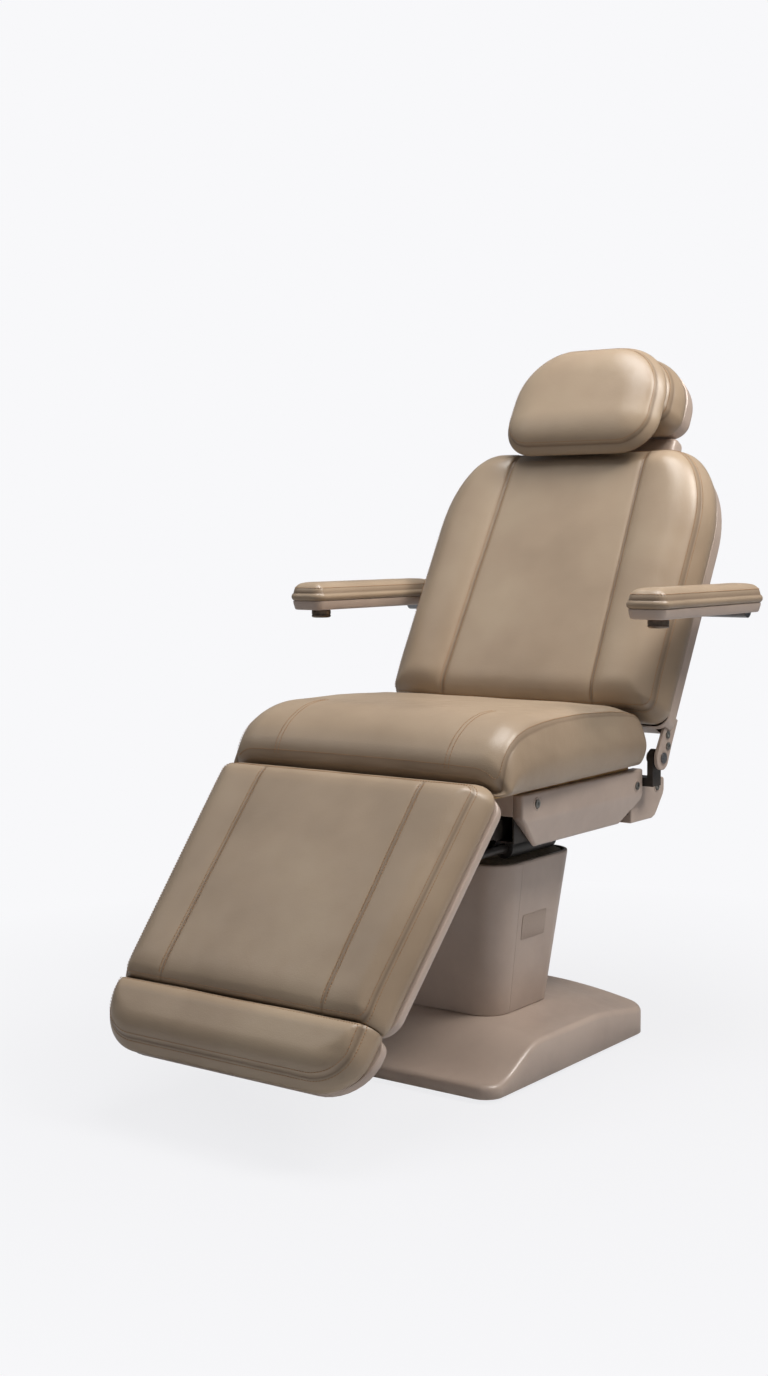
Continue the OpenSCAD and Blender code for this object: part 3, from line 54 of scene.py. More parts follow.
# Frames of the back and the leg rest: the pivot in (y, z), the angle from level in degrees,
# and where the panel's zero lies from the pivot, along the panel and out of it
BACK = dict(pivot=(245.0, 538.0), angle=61.6, foot=56.1, drop=114.8)
LEG = dict(pivot=(-212.0, 455.0), angle=49.0, foot=-444.8, drop=177.9)


def place(points, panel=None, shift=(0, 0, 0)):
    """Local (x, s, n) in mm to world metres: the shift, then a turn about the panel's pivot."""
    p = np.asarray(points, float) + np.asarray(shift, float)
    if panel is None:
        return p * MM
    a = math.radians(panel["angle"])
    u, v = p[..., 1] + panel["foot"], p[..., 2] + panel["drop"]
    y = panel["pivot"][0] + u * math.cos(a) - v * math.sin(a)
    z = panel["pivot"][1] + u * math.sin(a) + v * math.cos(a)
    return np.stack([p[..., 0], y, z], -1) * MM


# Curves and loops
def smoothstep(t):
    """Cubic ease from 0 to 1: 3 t squared less 2 t cubed."""
    t = np.clip(t, 0, 1)
    return t * t * (3 - 2 * t)


def unit(v):
    """The vectors of an array, each divided by its length."""
    return v / np.linalg.norm(v, axis=-1, keepdims=True)


def arc(cx, cy, r, a0, a1, count):
    """Points of a circle about (cx, cy), evenly spaced from a0 to a1 degrees."""
    a = np.radians(np.linspace(a0, a1, count))
    return np.stack([cx + r * np.cos(a), cy + r * np.sin(a)], -1)


def rounded_loop(a, b, r, steps, span, cy=0.0):
    """Rounded rectangle of half sides a and b about (0, cy), counterclockwise: a quarter
    circle of so many steps at each corner, and span steps along each side."""
    corners = [arc(sx * (a - r), cy + sy * (b - r), r, 90 * k, 90 * k + 90, steps + 1)
               for k, (sx, sy) in enumerate([(1, 1), (-1, 1), (-1, -1), (1, -1)])]
    share = np.linspace(0, 1, span + 1)[1:-1, None]
    parts = []
    for here, ahead in zip(corners, corners[1:] + corners[:1]):
        parts += [here, here[-1] + (ahead[0] - here[-1]) * share]
    return np.concatenate(parts)


def with_z(loop, z):
    """A plan loop lifted to height z, a number or one per point."""
    return np.column_stack([loop, np.broadcast_to(z, len(loop))])


def outline_rows(shape, g, corner, middle):
    """Rows of a panel's outline drawn in by g: distances along, and half widths. The ends
    have quarter-ellipse corners and the sides run straight between them."""
    length, hw0, hw1, lo, hi = (shape[k] for k in ("length", "hw0", "hw1", "lo", "hi"))
    a = np.linspace(np.pi / 2, 0, corner + 1)
    b = a[::-1]
    s = np.concatenate([g + (lo[1] - g) * (1 - np.sin(a)),
                        np.linspace(lo[1], length - hi[1], middle + 1)[1:-1],
                        length - g - (hi[1] - g) * (1 - np.sin(b))])
    inset = np.concatenate([g + (lo[0] - g) * (1 - np.cos(a)), np.full(middle - 1, g),
                            g + (hi[0] - g) * (1 - np.cos(b))])
    return s, hw0 + (hw1 - hw0) * s / length - inset


def panel_loop(s, w):
    """Closed loop of half widths w at distances s: along the right side, back along the left."""
    right = np.column_stack([w, s])
    return np.concatenate([right, right[::-1] * [-1, 1]])


# Meshes
def make_mesh(name, verts, faces, material, body, nodes=(), smooth=True):
    """A mesh object at the origin from vertices in metres. It rides on the body, takes the
    slot of its material and stands for the CAD nodes."""
    mesh = bpy.data.meshes.new(name)
    mesh.from_pydata(np.asarray(verts, float).tolist(), [], faces)
    mesh.update()
    mesh.polygons.foreach_set("use_smooth", np.full(len(mesh.polygons), smooth))
    mesh.materials.append(material)
    piece = bpy.data.objects.new(name, mesh)
    bpy.context.scene.collection.objects.link(piece)
    if body:
        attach(piece, body)
    if nodes:
        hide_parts(*nodes)
    return piece


def add_modifier(piece, kind, **settings):
    """A modifier on the piece, with its settings."""
    mod = piece.modifiers.new(kind.title(), kind)
    for key, value in settings.items():
        setattr(mod, key, value)
    return mod


def outward(piece):
    """Turns a closed skin's faces outwards."""
    work = bmesh.new()
    work.from_mesh(piece.data)
    bmesh.ops.recalc_face_normals(work, faces=work.faces)
    work.to_mesh(piece.data)
    work.free()
    return piece


def grid_quads(index):
    """Quads over a grid of vertex numbers, each counterclockwise from its first corner."""
    return np.stack([index[:-1, :-1], index[:-1, 1:], index[1:, 1:], index[1:, :-1]],
                    -1).reshape(-1, 4)


def band_quads(m, n, ring=False):
    """Quads between m loops of n points each, loops counterclockwise and stacked upwards."""
    rows = np.arange(m + ring)[:, None] % m
    return grid_quads(rows * n + np.arange(n + 1)[None, :] % n).tolist()


def loft(name, loops, material, body, nodes=(), panel=None, ring=False, sharp=None):
    """Skin over loops of equal length, closed by flat ends or, as a ring, on itself. Edges
    where it turns by more than sharp degrees stay crisp."""
    loops = np.asarray(loops, float)
    m, n = loops.shape[:2]
    faces = band_quads(m, n, ring)
    if not ring:
        faces += [list(range(n))[::-1], list(range((m - 1) * n, m * n))]
    verts = place(loops.reshape(-1, 3), panel)
    piece = outward(make_mesh(name, verts, faces, material, body, nodes))
    if sharp:
        piece.data.set_sharp_from_angle(angle=math.radians(sharp))
    return piece


def softened(piece, width, segments=3, angle=28):
    """Rounds the edges sharper than angle, and keeps the flats flat."""
    add_modifier(piece, "BEVEL", width=width * MM, segments=segments, limit_method="ANGLE",
                 angle_limit=math.radians(angle), harden_normals=True)
    return piece


def slab(name, outline, lo, hi, body, panel=None, edge=1.5, nodes=()):
    """A painted plate across X from lo to hi, cut to an outline of (y, z) or (s, n) points,
    with its edges rounded over the width edge."""
    outline = np.asarray(outline, float)
    loops = [np.column_stack([np.full(len(outline), x), outline]) for x in (lo, hi)]
    return softened(loft(name, loops, paint, body, nodes, panel), edge)


def carve(piece, boxes, panel):
    """Cuts boxes, each given by two corners in mm, out of the piece's mesh."""
    verts, faces = [], []
    for lo, hi in boxes:
        ends = (lo, hi)
        faces += [[q + len(verts) for q in f] for f in
                  ([0, 1, 3, 2], [4, 6, 7, 5], [0, 4, 5, 1], [2, 3, 7, 6], [0, 2, 6, 4], [1, 5, 7, 3])]
        verts += [[ends[i][0], ends[j][1], ends[k][2]] for i in (0, 1) for j in (0, 1) for k in (0, 1)]
    mesh = bpy.data.meshes.new("cutter")
    mesh.from_pydata(place(verts, panel).tolist(), [], faces)
    cutter = outward(bpy.data.objects.new("cutter", mesh))
    bpy.context.scene.collection.objects.link(cutter)
    mod = add_modifier(piece, "BOOLEAN", object=cutter, operation="DIFFERENCE", solver="EXACT")
    bpy.context.view_layer.update()
    made = bpy.data.meshes.new_from_object(piece.evaluated_get(bpy.context.evaluated_depsgraph_get()))
    piece.modifiers.remove(mod)
    piece.data = made
    bpy.data.objects.remove(cutter)
    made.polygons.foreach_set("use_smooth", np.full(len(made.polygons), True))
    made.set_sharp_from_angle(angle=math.radians(35))
    return piece


def lathe(name, profile, centre, material, body, nodes, steps=56, pole=0.02):
    """A turned piece: (radius, height) points swept round an upright axis, from axis to axis,
    where a radius no smaller than pole keeps the end's loop open."""
    a = np.linspace(0, 2 * np.pi, steps, endpoint=False)
    circle = np.stack([np.cos(a), np.sin(a)], -1)
    loops = [with_z(circle * max(r, pole) + centre[:2], centre[2] + h) for r, h in profile]
    return loft(name, loops, material, body, nodes, sharp=40)


# Upholstery
def ripple(x, s, scale, seed):
    """Smooth unevenness between -1 and 1: a sum of sine waves of random heading and phase,
    with wavelengths near scale."""
    rng = np.random.default_rng(seed)
    total = np.zeros(np.broadcast(x, s).shape)
    for _ in range(7):
        heading, phase = rng.uniform(0, np.pi), rng.uniform(0, 2 * np.pi)
        k = 2 * np.pi / (scale * rng.uniform(0.7, 1.6))
        total += np.sin(k * (x * np.cos(heading) + s * np.sin(heading)) + phase)
    return total / 7


def nearest(px, ps, loop):
    """Distance from each point to a closed loop of (x, s) points, taken to the loop's points
    and three more between each two, some hundred at a time."""
    ahead = np.roll(loop, -1, 0)
    fine = np.concatenate([loop + (ahead - loop) * f for f in (0, 0.25, 0.5, 0.75)])
    flat = np.stack([px.ravel(), ps.ravel()], -1)
    best = np.full(len(flat), 1e9)
    for i in range(0, len(fine), 200):
        gap = flat[:, None, :] - fine[None, i:i + 200, :]
        best = np.minimum(best, np.sqrt((gap ** 2).sum(-1)).min(1))
    return best.reshape(px.shape)


def loop_normals(loop):
    """Outward normals of a counterclockwise loop: the mean of the two directions that meet at
    each point, turned a quarter, then averaged three times with their neighbours."""
    run = unit(unit(np.roll(loop, -1, 0) - loop) + unit(loop - np.roll(loop, 1, 0)))
    out = np.stack([run[:, 1], -run[:, 0]], -1)
    for _ in range(3):
        out = unit((np.roll(out, 1, 0) + 2 * out + np.roll(out, -1, 0)) / 4)
    return out


def even(z):
    """A rim or a top that is z high all over."""
    return lambda *at: z + 0 * at[-1]


class Cushion:
    """A stitched cushion. The top panel is a height over (x, s): it leaves the seam ring
    steeply and levels out over the width edge, and sewn channels at x = +-seam(s) sink into
    it. The side panel hangs from the ring, bulges out and draws in again to the underside."""

    def __init__(self, shape, rim, top, edge, power, bulge, slant, waist, draw, uneven, seed,
                 corner, middle, across, seam=None, channel=None, rolled=None, bend=None,
                 side_loops=14):
        """Vertices, faces and the painted shade of the seams as whole arrays: the ring, the top's
        inner points, the side's loops below the ring, and the inner points of the flat underside."""
        self.rim, self.top, self.edge, self.power, self.rolled = rim, top, edge, power, rolled
        self.bulge, self.slant, self.waist, self.draw = bulge, slant, waist, draw
        self.uneven, self.seed, self.seam, self.channel = uneven, seed, seam, channel
        self.bend = bend or (lambda points: points)
        self.s, self.w = outline_rows(shape, bulge, corner, middle)
        X = self.columns(across)
        S = np.broadcast_to(self.s[:, None], X.shape)
        m, n = X.shape
        order = ([(0, i) for i in range(n)] + [(j, n - 1) for j in range(1, m)]
                 + [(m - 1, i) for i in range(n - 2, -1, -1)]
                 + [(j, 0) for j in range(m - 2, 0, -1)])
        rows, cols = np.array(order).T
        inner = np.ones((m, n), bool)
        inner[rows, cols] = False
        count, rest = len(rows), int(inner.sum())
        self.loop = np.stack([X[rows, cols], S[rows, cols]], -1)
        self.out = loop_normals(self.loop)

        Z, seam_shade = self.height(X, S)
        ring = np.column_stack([self.loop, Z[rows, cols]])
        field = np.stack([X, S, Z], -1)[inner]
        shares = 1 - np.linspace(0, 1, side_loops)[1:] ** 1.5
        under_s, under_w = outline_rows(shape, draw + 2, corner, middle)
        under_x = under_w[:, None] * np.linspace(-1, 1, n)
        under = np.stack([under_x, np.broadcast_to(under_s[:, None], (m, n)), 0 * under_x], -1)[inner]
        self.verts = self.bend(np.concatenate(
            [ring, field] + [self.side_points(h) for h in shares] + [under]))

        index = np.zeros((m, n), int)
        index[rows, cols] = np.arange(count)
        index[inner] = count + np.arange(rest)
        starts = [0] + [count + rest + k * count for k in range(len(shares))]
        low = np.zeros((m, n), int)
        low[rows, cols] = starts[-1] + np.arange(count)
        low[inner] = starts[-1] + count + np.arange(rest)
        here = np.arange(count)
        ahead = (here + 1) % count
        side = [np.stack([up + ahead, up + here, down + here, down + ahead], -1)
                for up, down in zip(starts, starts[1:])]
        self.faces = np.concatenate([grid_quads(index)] + side + [grid_quads(low.T)]).tolist()
        # Painted shade down the side panel, fading within a few mm below the seam ring
        ring_rim = rim(self.loop[:, 1])
        shade = [np.exp(-((1 - h) * ring_rim / 1.5) ** 2) for h in shares]
        self.seam_shade = np.concatenate([seam_shade[rows, cols], seam_shade[inner]] + shade + [np.zeros(rest)])

    def columns(self, across):
        """Positions across each row: steps half even and half on a cosine, which brings them
        closer together near the edges and the channels."""
        def spread(a, b, n):
            """So many steps from a to b on each row."""
            t = np.linspace(0, 1, n + 1)
            t = 0.45 * t + 0.55 * (0.5 - 0.5 * np.cos(np.pi * t))
            return a[:, None] + (b - a)[:, None] * t[None, :]
        w = self.w
        if self.seam is None:
            return spread(-w, w, across[1])
        k = np.minimum(self.seam(self.s), w * 0.93)
        left, mid, right = spread(-w, -k, across[0]), spread(-k, k, across[1]), spread(k, w, across[0])
        return np.concatenate([left, mid[:, 1:], right[:, 1:]], 1)

    def height(self, x, s):
        """Height of the top panel over the underside, and how much painted shade it takes along
        the ring and the channels, 0 to 1: a superellipse of the distance from the ring, less
        bell-shaped grooves at the ring and the channels, with broad unevenness, and puckers beside the
        seams."""
        d = nearest(x, s, self.loop)
        rim, top = self.rim(s), self.top(x, s)
        reach = d if self.rolled is None else self.rolled(x, s, d)
        t = np.clip(reach / self.edge, 0, 1)
        z = rim + (top - rim) * (1 - (1 - t) ** 2) ** self.power
        z -= 0.9 * np.exp(-(d / 1.8) ** 2)
        z += self.uneven * ripple(x, s, 95, self.seed) * smoothstep(d / 30)
        pucker = np.exp(-((d - 7) / 7) ** 2)
        # Painted shade for the vinyl's colour: narrow bands on the seam ring and along the channels
        seam_shade = np.exp(-(d / 1.3) ** 2)
        if self.seam is not None:
            c = np.abs(np.abs(x) - self.seam(s))
            depth, width = self.channel
            z -= depth * np.exp(-(c / width) ** 1.3) * smoothstep(d / 14)
            pucker = np.maximum(pucker, np.exp(-((c - 9) / 8) ** 2))
            seam_shade = np.maximum(seam_shade, np.exp(-(c / 1.4) ** 2))
        z += 0.35 * pucker * ripple(x, s, 17, self.seed + 9)
        return z, seam_shade

    def side_points(self, h):
        """Loop of the side panel at the share h of the seam's height: out by the bulge down
        to the waist, on a curve of the power slant, and in by a parabola below it."""
        b = self.waist
        o = (self.bulge * (1 - (max(h - b, 0) / (1 - b)) ** self.slant)
             - self.draw * (max(b - h, 0) / b) ** 2)
        z = self.rim(self.loop[:, 1]) * h
        wave = 0.5 * self.uneven * ripple(self.loop[:, 0], self.loop[:, 1] + 2 * z, 80, self.seed + 3)
        return np.column_stack([self.loop + self.out * (o + wave * (h < 0.97))[:, None], z])

    def seam_lines(self, off=3.8):
        """Lines of topstitching: one inside the ring on the top panel, one below it on the
        side panel, and one on each side of each channel, as (points, normals, closed)."""
        lines = [self.on_top(self.loop - self.out * off) + (True,)]
        rim = self.rim(self.loop[:, 1])
        h = 1 - off / rim
        b = self.waist
        o = self.bulge * (1 - ((h - b) / (1 - b)) ** self.slant)
        below = np.column_stack([self.loop + self.out * o[:, None], rim * h])
        lines.append((below, np.column_stack([self.out * 0.85, np.full(len(rim), 0.5)]), True))
        if self.seam is not None:
            s = np.linspace(self.s[0] + 8, self.s[-1] - 8, 160)
            for side in (-1, 1):
                for gap in (-off, off):
                    x = side * (self.seam(s) + gap)
                    lines.append(self.on_top(np.stack([x, s], -1)) + (False,))
        return [(self.bend(points), normals, closed) for points, normals, closed in lines]

    def on_top(self, xs, step=1.5):
        """Points on the top panel over (x, s), with the surface's normals from its slope over
        a short step each way."""
        z = self.height(xs[:, 0], xs[:, 1])[0]
        zx = self.height(xs[:, 0] + step, xs[:, 1])[0]
        zs = self.height(xs[:, 0], xs[:, 1] + step)[0]
        normal = unit(np.column_stack([-(zx - z) / step, -(zs - z) / step, np.ones(len(z))]))
        return np.column_stack([xs, z]), normal

    def upholster(self, names, body, panel, shift, node, lines):
        """The cushion's object, which stands for its CAD solid, and the thread on its lines."""
        piece = make_mesh(names[0], place(self.verts, panel, shift), self.faces, vinyl, body, [node])
        # Painted shade along the seams, kept on the points for the vinyl's colour
        piece.data.attributes.new("seam_shade", "FLOAT", "POINT").data.foreach_set(
            "value", self.seam_shade.astype(np.float32))
        add_modifier(piece, "SUBSURF", levels=1, render_levels=1)
        stitches(names[1], lines, body, panel, shift)


# A stitch: its pitch along the seam, its length, the thread's radius, and the share of that
# radius by which it stands proud
STITCH = dict(pitch=5.4, length=4.0, radius=0.66, proud=0.35)


def spindle():
    """One stitch along +X, a spindle of four sides and five rings with closed ends."""
    t = np.linspace(-1, 1, 5)[:, None]
    r = np.array([0.35, 0.9, 1.0, 0.9, 0.35])[:, None]
    a = np.radians([45, 135, 225, 315])
    rings = np.stack([np.broadcast_to(t, (5, 4)), r * np.cos(a), r * np.sin(a)], -1)
    return rings.reshape(-1, 3), np.array(band_quads(5, 4) + [[3, 2, 1, 0], [16, 17, 18, 19]])


def stitches(name, lines, body, panel, shift):
    """Thread along each line: a spindle at every pitch, turned to the line and the surface."""
    shape, quads = spindle()
    length, radius = STITCH["length"] / 2, STITCH["radius"]
    verts, faces, base = [], [], 0
    for points, normals, closed in lines:
        if closed:
            points, normals = np.vstack([points, points[:1]]), np.vstack([normals, normals[:1]])
        run = np.concatenate([[0], np.cumsum(np.linalg.norm(np.diff(points, axis=0), axis=1))])
        at = np.arange(STITCH["pitch"] / 2, run[-1], STITCH["pitch"])
        centre, ahead, behind, up = (
            np.stack([np.interp(where, run, table[:, k]) for k in range(3)], -1)
            for where, table in ((at, points), (at + 1, points), (at - 1, points), (at, normals)))
        along = unit(ahead - behind)
        across = unit(np.cross(up, along))
        up = np.cross(along, across)
        verts.append((centre[:, None] + along[:, None] * shape[None, :, :1] * length
                      + across[:, None] * shape[None, :, 1:2] * radius
                      + up[:, None] * (shape[None, :, 2:3] + STITCH["proud"]) * radius).reshape(-1, 3))
        first = base + np.arange(len(at)) * len(shape)
        faces += (quads[None] + first[:, None, None]).reshape(-1, 4).tolist()
        base += len(at) * len(shape)
    make_mesh(name, place(np.concatenate(verts), panel, shift), faces, thread, body)


# Materials
def linear(code):
    """An sRGB hex colour as linear red, green, blue and alpha."""
    c = np.array([int(code[i:i + 2], 16) for i in (1, 3, 5)]) / 255
    c = np.where(c <= 0.04045, c / 12.92, ((c + 0.055) / 1.055) ** 2.4)
    return (*c.tolist(), 1.0)


def cells(size):
    """Scale of a pattern whose cells are size mm across: as many as fit in a metre."""
    return 1 / (size * MM)


def add(tree, kind, inputs, stops=(), **settings):
    """Adds a node with its settings. Each input is a value, a socket to link from, or a node,
    which stands for its first output. Stops are the (position, hex colour) pairs of a ramp."""
    made = tree.nodes.new("ShaderNode" + kind)
    for key, value in settings.items():
        setattr(made, key, value)
    for key, value in inputs.items():
        if isinstance(value, bpy.types.Node):
            value = value.outputs[0]
        if isinstance(value, bpy.types.NodeSocket):
            tree.links.new(value, made.inputs[key])
        else:
            made.inputs[key].default_value = value
    for _ in stops[2:]:
        made.color_ramp.elements.new(0.5)
    for k, (at, code) in enumerate(stops):
        made.color_ramp.elements[k].position = at
        made.color_ramp.elements[k].color = linear(code)
    return made


def new_material(name):
    """A material, its emptied node tree, and the coordinates of the piece itself."""
    material = bpy.data.materials.new(name)
    material.use_nodes = True
    material.node_tree.nodes.clear()
    where = add(material.node_tree, "TexCoord", {}).outputs["Object"]
    return material, material.node_tree, where


def coated_leather(name, base, deep, bright, rough):
    """Polyurethane-coated upholstery cloth, embossed with a 1.5 mm pebble grain and drawn
    coarser so that it shows: satin, with the grain catching the light, handling marks in
    broad soft patches, and painted shade browning it where the seams fold."""
    material, tree, where = new_material(name)
    grain = add(tree, "TexVoronoi", {"Vector": where, "Scale": cells(2.38), "Randomness": 0.9})
    pores = add(tree, "TexNoise", {"Vector": where, "Scale": cells(1.11), "Detail": 2.0})
    patch = add(tree, "TexNoise", {"Vector": where, "Scale": cells(238), "Detail": 3.0, "Roughness": 0.55})
    haze = add(tree, "TexNoise", {"Vector": where, "Scale": cells(26.3), "Detail": 4.0, "Roughness": 0.6})
    worn = add(tree, "ValToRGB", {"Fac": patch}, [(0.3, deep), (0.52, base), (0.74, bright)])
    # Painted shade: along the seams the colour darkens towards #5c4a3a, by half the seam mask
    fold = add(tree, "Attribute", {}, attribute_name="seam_shade")
    seam_shade_share = add(tree, "Math", {0: fold.outputs["Fac"], 1: 0.5}, operation="MULTIPLY")
    colour = add(tree, "Mix", {0: seam_shade_share, 6: worn, 7: linear("#5c4a3a")}, data_type="RGBA")
    shine = add(tree, "MapRange", {"Value": haze, "From Min": 0.3, "From Max": 0.7,
                                   "To Min": rough - 0.05, "To Max": rough + 0.07})
    relief = add(tree, "Math", {0: grain, 1: pores}, operation="ADD")
    fine = add(tree, "Bump", {"Height": relief, "Strength": 0.22, "Distance": 0.5 * MM})
    soft = add(tree, "Bump", {"Height": haze, "Strength": 0.12, "Distance": 3 * MM, "Normal": fine})
    shader = add(tree, "BsdfPrincipled", {
        "Base Color": colour.outputs[2], "Roughness": shine, "Normal": soft, "IOR": 1.5,
        "Specular IOR Level": 0.5, "Sheen Weight": 0.06, "Sheen Roughness": 0.4})
    add(tree, "OutputMaterial", {"Surface": shader})
    return material


def moulded_paint(name, base, shade, rough):
    """Two-pack paint on moulded covers: satin gloss with a faint 3 mm orange peel and
    slightly uneven tone from handling and floor dust."""
    material, tree, where = new_material(name)
    peel = add(tree, "TexNoise", {"Vector": where, "Scale": cells(3.03), "Detail": 1.0})
    tone = add(tree, "TexNoise", {"Vector": where, "Scale": cells(143), "Detail": 4.0, "Roughness": 0.6})
    dust = add(tree, "TexNoise", {"Vector": where, "Scale": cells(16.7), "Detail": 3.0})
    colour = add(tree, "ValToRGB", {"Fac": tone}, [(0.32, shade), (0.62, base)])
    shine = add(tree, "MapRange", {"Value": dust, "From Min": 0.3, "From Max": 0.7,
                                   "To Min": rough - 0.04, "To Max": rough + 0.06})
    bump = add(tree, "Bump", {"Height": peel, "Strength": 0.12, "Distance": 0.4 * MM})
    shader = add(tree, "BsdfPrincipled", {"Base Color": colour, "Roughness": shine, "Normal": bump,
                                          "IOR": 1.5, "Coat Weight": 0.15, "Coat Roughness": 0.2})
    add(tree, "OutputMaterial", {"Surface": shader})
    return material


def marked(name, stops, rough, size, strength, depth, noise, streak=(1, 1, 1), gloss=None, **sockets):
    """A surface whose tone and relief follow one noise of marks size mm apart, crowded by the
    factors of streak, so that they run across the axis of the largest, and depth mm deep.
    With gloss, its two limits of roughness, the roughness follows it too."""
    material, tree, where = new_material(name)
    drawn = add(tree, "Mapping", {"Vector": where, "Scale": streak})
    marks = add(tree, "TexNoise", {"Vector": drawn, "Scale": cells(size), **noise})
    colour = add(tree, "ValToRGB", {"Fac": marks}, stops)
    if gloss:
        rough = add(tree, "MapRange", {"Value": marks, "To Min": gloss[0], "To Max": gloss[1]})
    bump = add(tree, "Bump", {"Height": marks, "Strength": strength, "Distance": depth * MM})
    shader = add(tree, "BsdfPrincipled", {"Base Color": colour, "Roughness": rough, "Normal": bump,
                                          **sockets})
    add(tree, "OutputMaterial", {"Surface": shader})
    return material


def metal(name, base, shade, rough, size=8.33, streak=(1, 1, 1)):
    """Turned, brushed or plated metal: bare reflection broken by fine marks."""
    return marked(name, [(0.35, shade), (0.65, base)], rough, size, 0.05, 0.3, {"Detail": 3.0},
                  streak, (max(rough - 0.06, 0.02), rough + 0.08), Metallic=1.0)


def matt(name, base, shade, rough, size, strength, depth):
    """A dull surface, even in its roughness."""
    return marked(name, [(0.3, shade), (0.7, base)], rough, size, strength, depth,
                  {"Detail": 4.0, "Roughness": 0.6}, IOR=1.5)


# Soft parts: a warm satin with painted shade browning its seams, sewn with a redder, dull thread
vinyl = coated_leather("coated upholstery, taupe", "#a08c76", "#93806b", "#a9967f", 0.35)
thread = matt("bonded polyester thread", "#ab835d", "#946d49", 0.7, 0.4, 0.4, 0.3)
# Covers: a pinkish satin, softly mottled, and a bare plate a shade off it
paint = moulded_paint("satin paint, pink beige", "#c0aea1", "#b4a296", 0.34)
label = matt("blank plate, painted", "#b6a599", "#ab9a8e", 0.5, 2.0, 0.1, 0.2)
# What stays in shadow: half-gloss enamel, fine-textured plastic, flat rubber, brown cloth
dark_paint = matt("frame enamel, near black", "#3a342f", "#282320", 0.42, 11.1, 0.1, 0.4)
black_abs = matt("moulded ABS, black", "#2b2825", "#1c1a18", 0.5, 1.43, 0.2, 0.2)
rubber = matt("vulcanised rubber", "#2a2825", "#1d1b19", 0.8, 4.17, 0.3, 0.4)
boot_cloth = matt("coated boot cloth, brown", "#8a7d6a", "#6f6353", 0.66, 6.25, 0.35, 0.8)
# Boards: pale wood with a growth figure of about 6 mm, drawn out along the board
ply = marked("birch plywood", [(0.35, "#8d6a41"), (0.5, "#b48f60"), (0.68, "#c8a878")], 0.62, 55.6,
             0.2, 0.5, {"Detail": 5.0, "Distortion": 0.6}, (9.0, 1.2, 9.0))
# Metals: mirror-bright rods, grey brushed steel, dark warm knobs and pale screw heads
chrome = metal("chrome plate", "#d2cec8", "#bcb8b2", 0.12, 16.7)
steel = metal("brushed steel", "#9b9c9e", "#7c7d80", 0.34, streak=(1, 1, 12))
bronze = metal("dark nickel plate", "#8d7f72", "#6f6359", 0.3, 11.1)
zinc = metal("zinc-plated screws", "#a9a9a6", "#84847f", 0.38)

FINISHES = {
    dark_paint: "base_plate seat_frame back_frame leg_shaft leg_rod",
    paint: "leg_arms leg_runners hinge_plate_left hinge_plate_right front_cover",
    black_abs: "lift_actuator back_actuator leg_actuator control_box",
    rubber: "levelling_feet", boot_cloth: "boot", ply: "seat_board back_board",
    chrome: "lift_rod back_rod head_stems foot_rods",
    steel: "column_outer column_inner back_pivot_pins stem_sleeves arm_axles head_pin "
           "arm_bar_left arm_bar_right",
    bronze: "arm_knob_left arm_knob_right",
    zinc: "cover_screws plate_screws", label: "blank_plate",
}
named = {node: material for material, nodes in FINISHES.items() for node in nodes.split()}
for node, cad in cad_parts.items():
    soft = any(word in node for word in ("cushion", "pillow", "pad_"))
    cad.data.materials.clear()
    cad.data.materials.append(named.get(node, vinyl if soft else paint))

# The seat
SEAT_AT = (0, -318.0, 528.3)
SEAT_SHAPE = dict(length=548, hw0=301, hw1=282, lo=(30, 28), hi=(50, 46))
SEAT_BULGE, SEAT_CORNER, SEAT_MIDDLE, SEAT_ROLL = 14, 14, 70, 160
seat_s, seat_w = outline_rows(SEAT_SHAPE, SEAT_BULGE, SEAT_CORNER, SEAT_MIDDLE)


def seat_rim(s):
    """Height of the seat's seam: low round the front roll, then up along the sides."""
    return np.interp(s, [0, 14, 20, 28, 40, 54, 75, 100, 150, 200, 300, 400, 490, 520, 534, 548],
                     [7, 7, 14, 32, 56, 73, 87, 95, 103, 107, 108, 102, 93, 82, 70, 52])


def seat_top(x, s):
    """Height of the seat's panel: a superellipse over the front roll, then nearly level,
    dished by a sitter, and rolled down behind."""
    roll = 7 + 119 * (1 - (1 - np.clip((s - 12) / 140, 0, 1)) ** 2.7) ** 0.48
    level = np.interp(s, [0, 160, 260, 400, 450, 480, 520, 548], [2, 2, 3, -3, -9, -18, -29, -43])
    dish = 4 * np.exp(-(x / 170) ** 2) * np.exp(-((s - 300) / 140) ** 2)
    return roll + level - dish - 5 * (np.abs(x) / 290) ** 2.5


def seat_bend(points):
    """The seat's front face pushed forwards by a half sine over its height, and its lowest
    front edge drawn back."""
    p = np.array(points)
    near = smoothstep((150 - p[:, 1]) / 150)
    p[:, 1] -= 13 * np.sin(np.pi * np.clip(p[:, 2] / 124, 0, 1)) * near
    p[:, 1] += 9 * smoothstep((26 - p[:, 2]) / 26) * smoothstep((60 - p[:, 1]) / 60)
    return p


def seat_edge(x, s, d):
    """Distance that counts for the rounding: to the sides alone over the front roll."""
    side = np.maximum(np.interp(s, seat_s, seat_w) - np.abs(x), 0)
    return np.where(s < SEAT_ROLL, np.maximum(side, d), d)


seat = Cushion(SEAT_SHAPE, seat_rim, seat_top, edge=44, power=0.52, bulge=SEAT_BULGE, slant=1.4,
               waist=0.45, draw=12, uneven=0.9, seed=4, corner=SEAT_CORNER, middle=SEAT_MIDDLE,
               across=(0, 60), rolled=seat_edge, bend=seat_bend)
seat_lines = seat.seam_lines()[:1]
for x in (-187, -179, 179, 187):
    points, normals = seat.on_top(np.column_stack([np.full(60, x), np.linspace(16, 150, 60)]))
    seat_lines.append((seat.bend(points), normals, False))
seat.upholster(("seat_upholstery", "seat_stitching"), "seat", None, SEAT_AT, "seat_cushion", seat_lines)

# The back
BACK_LEN, BACK_HW, BACK_Q = 577, 308, (118, 190)


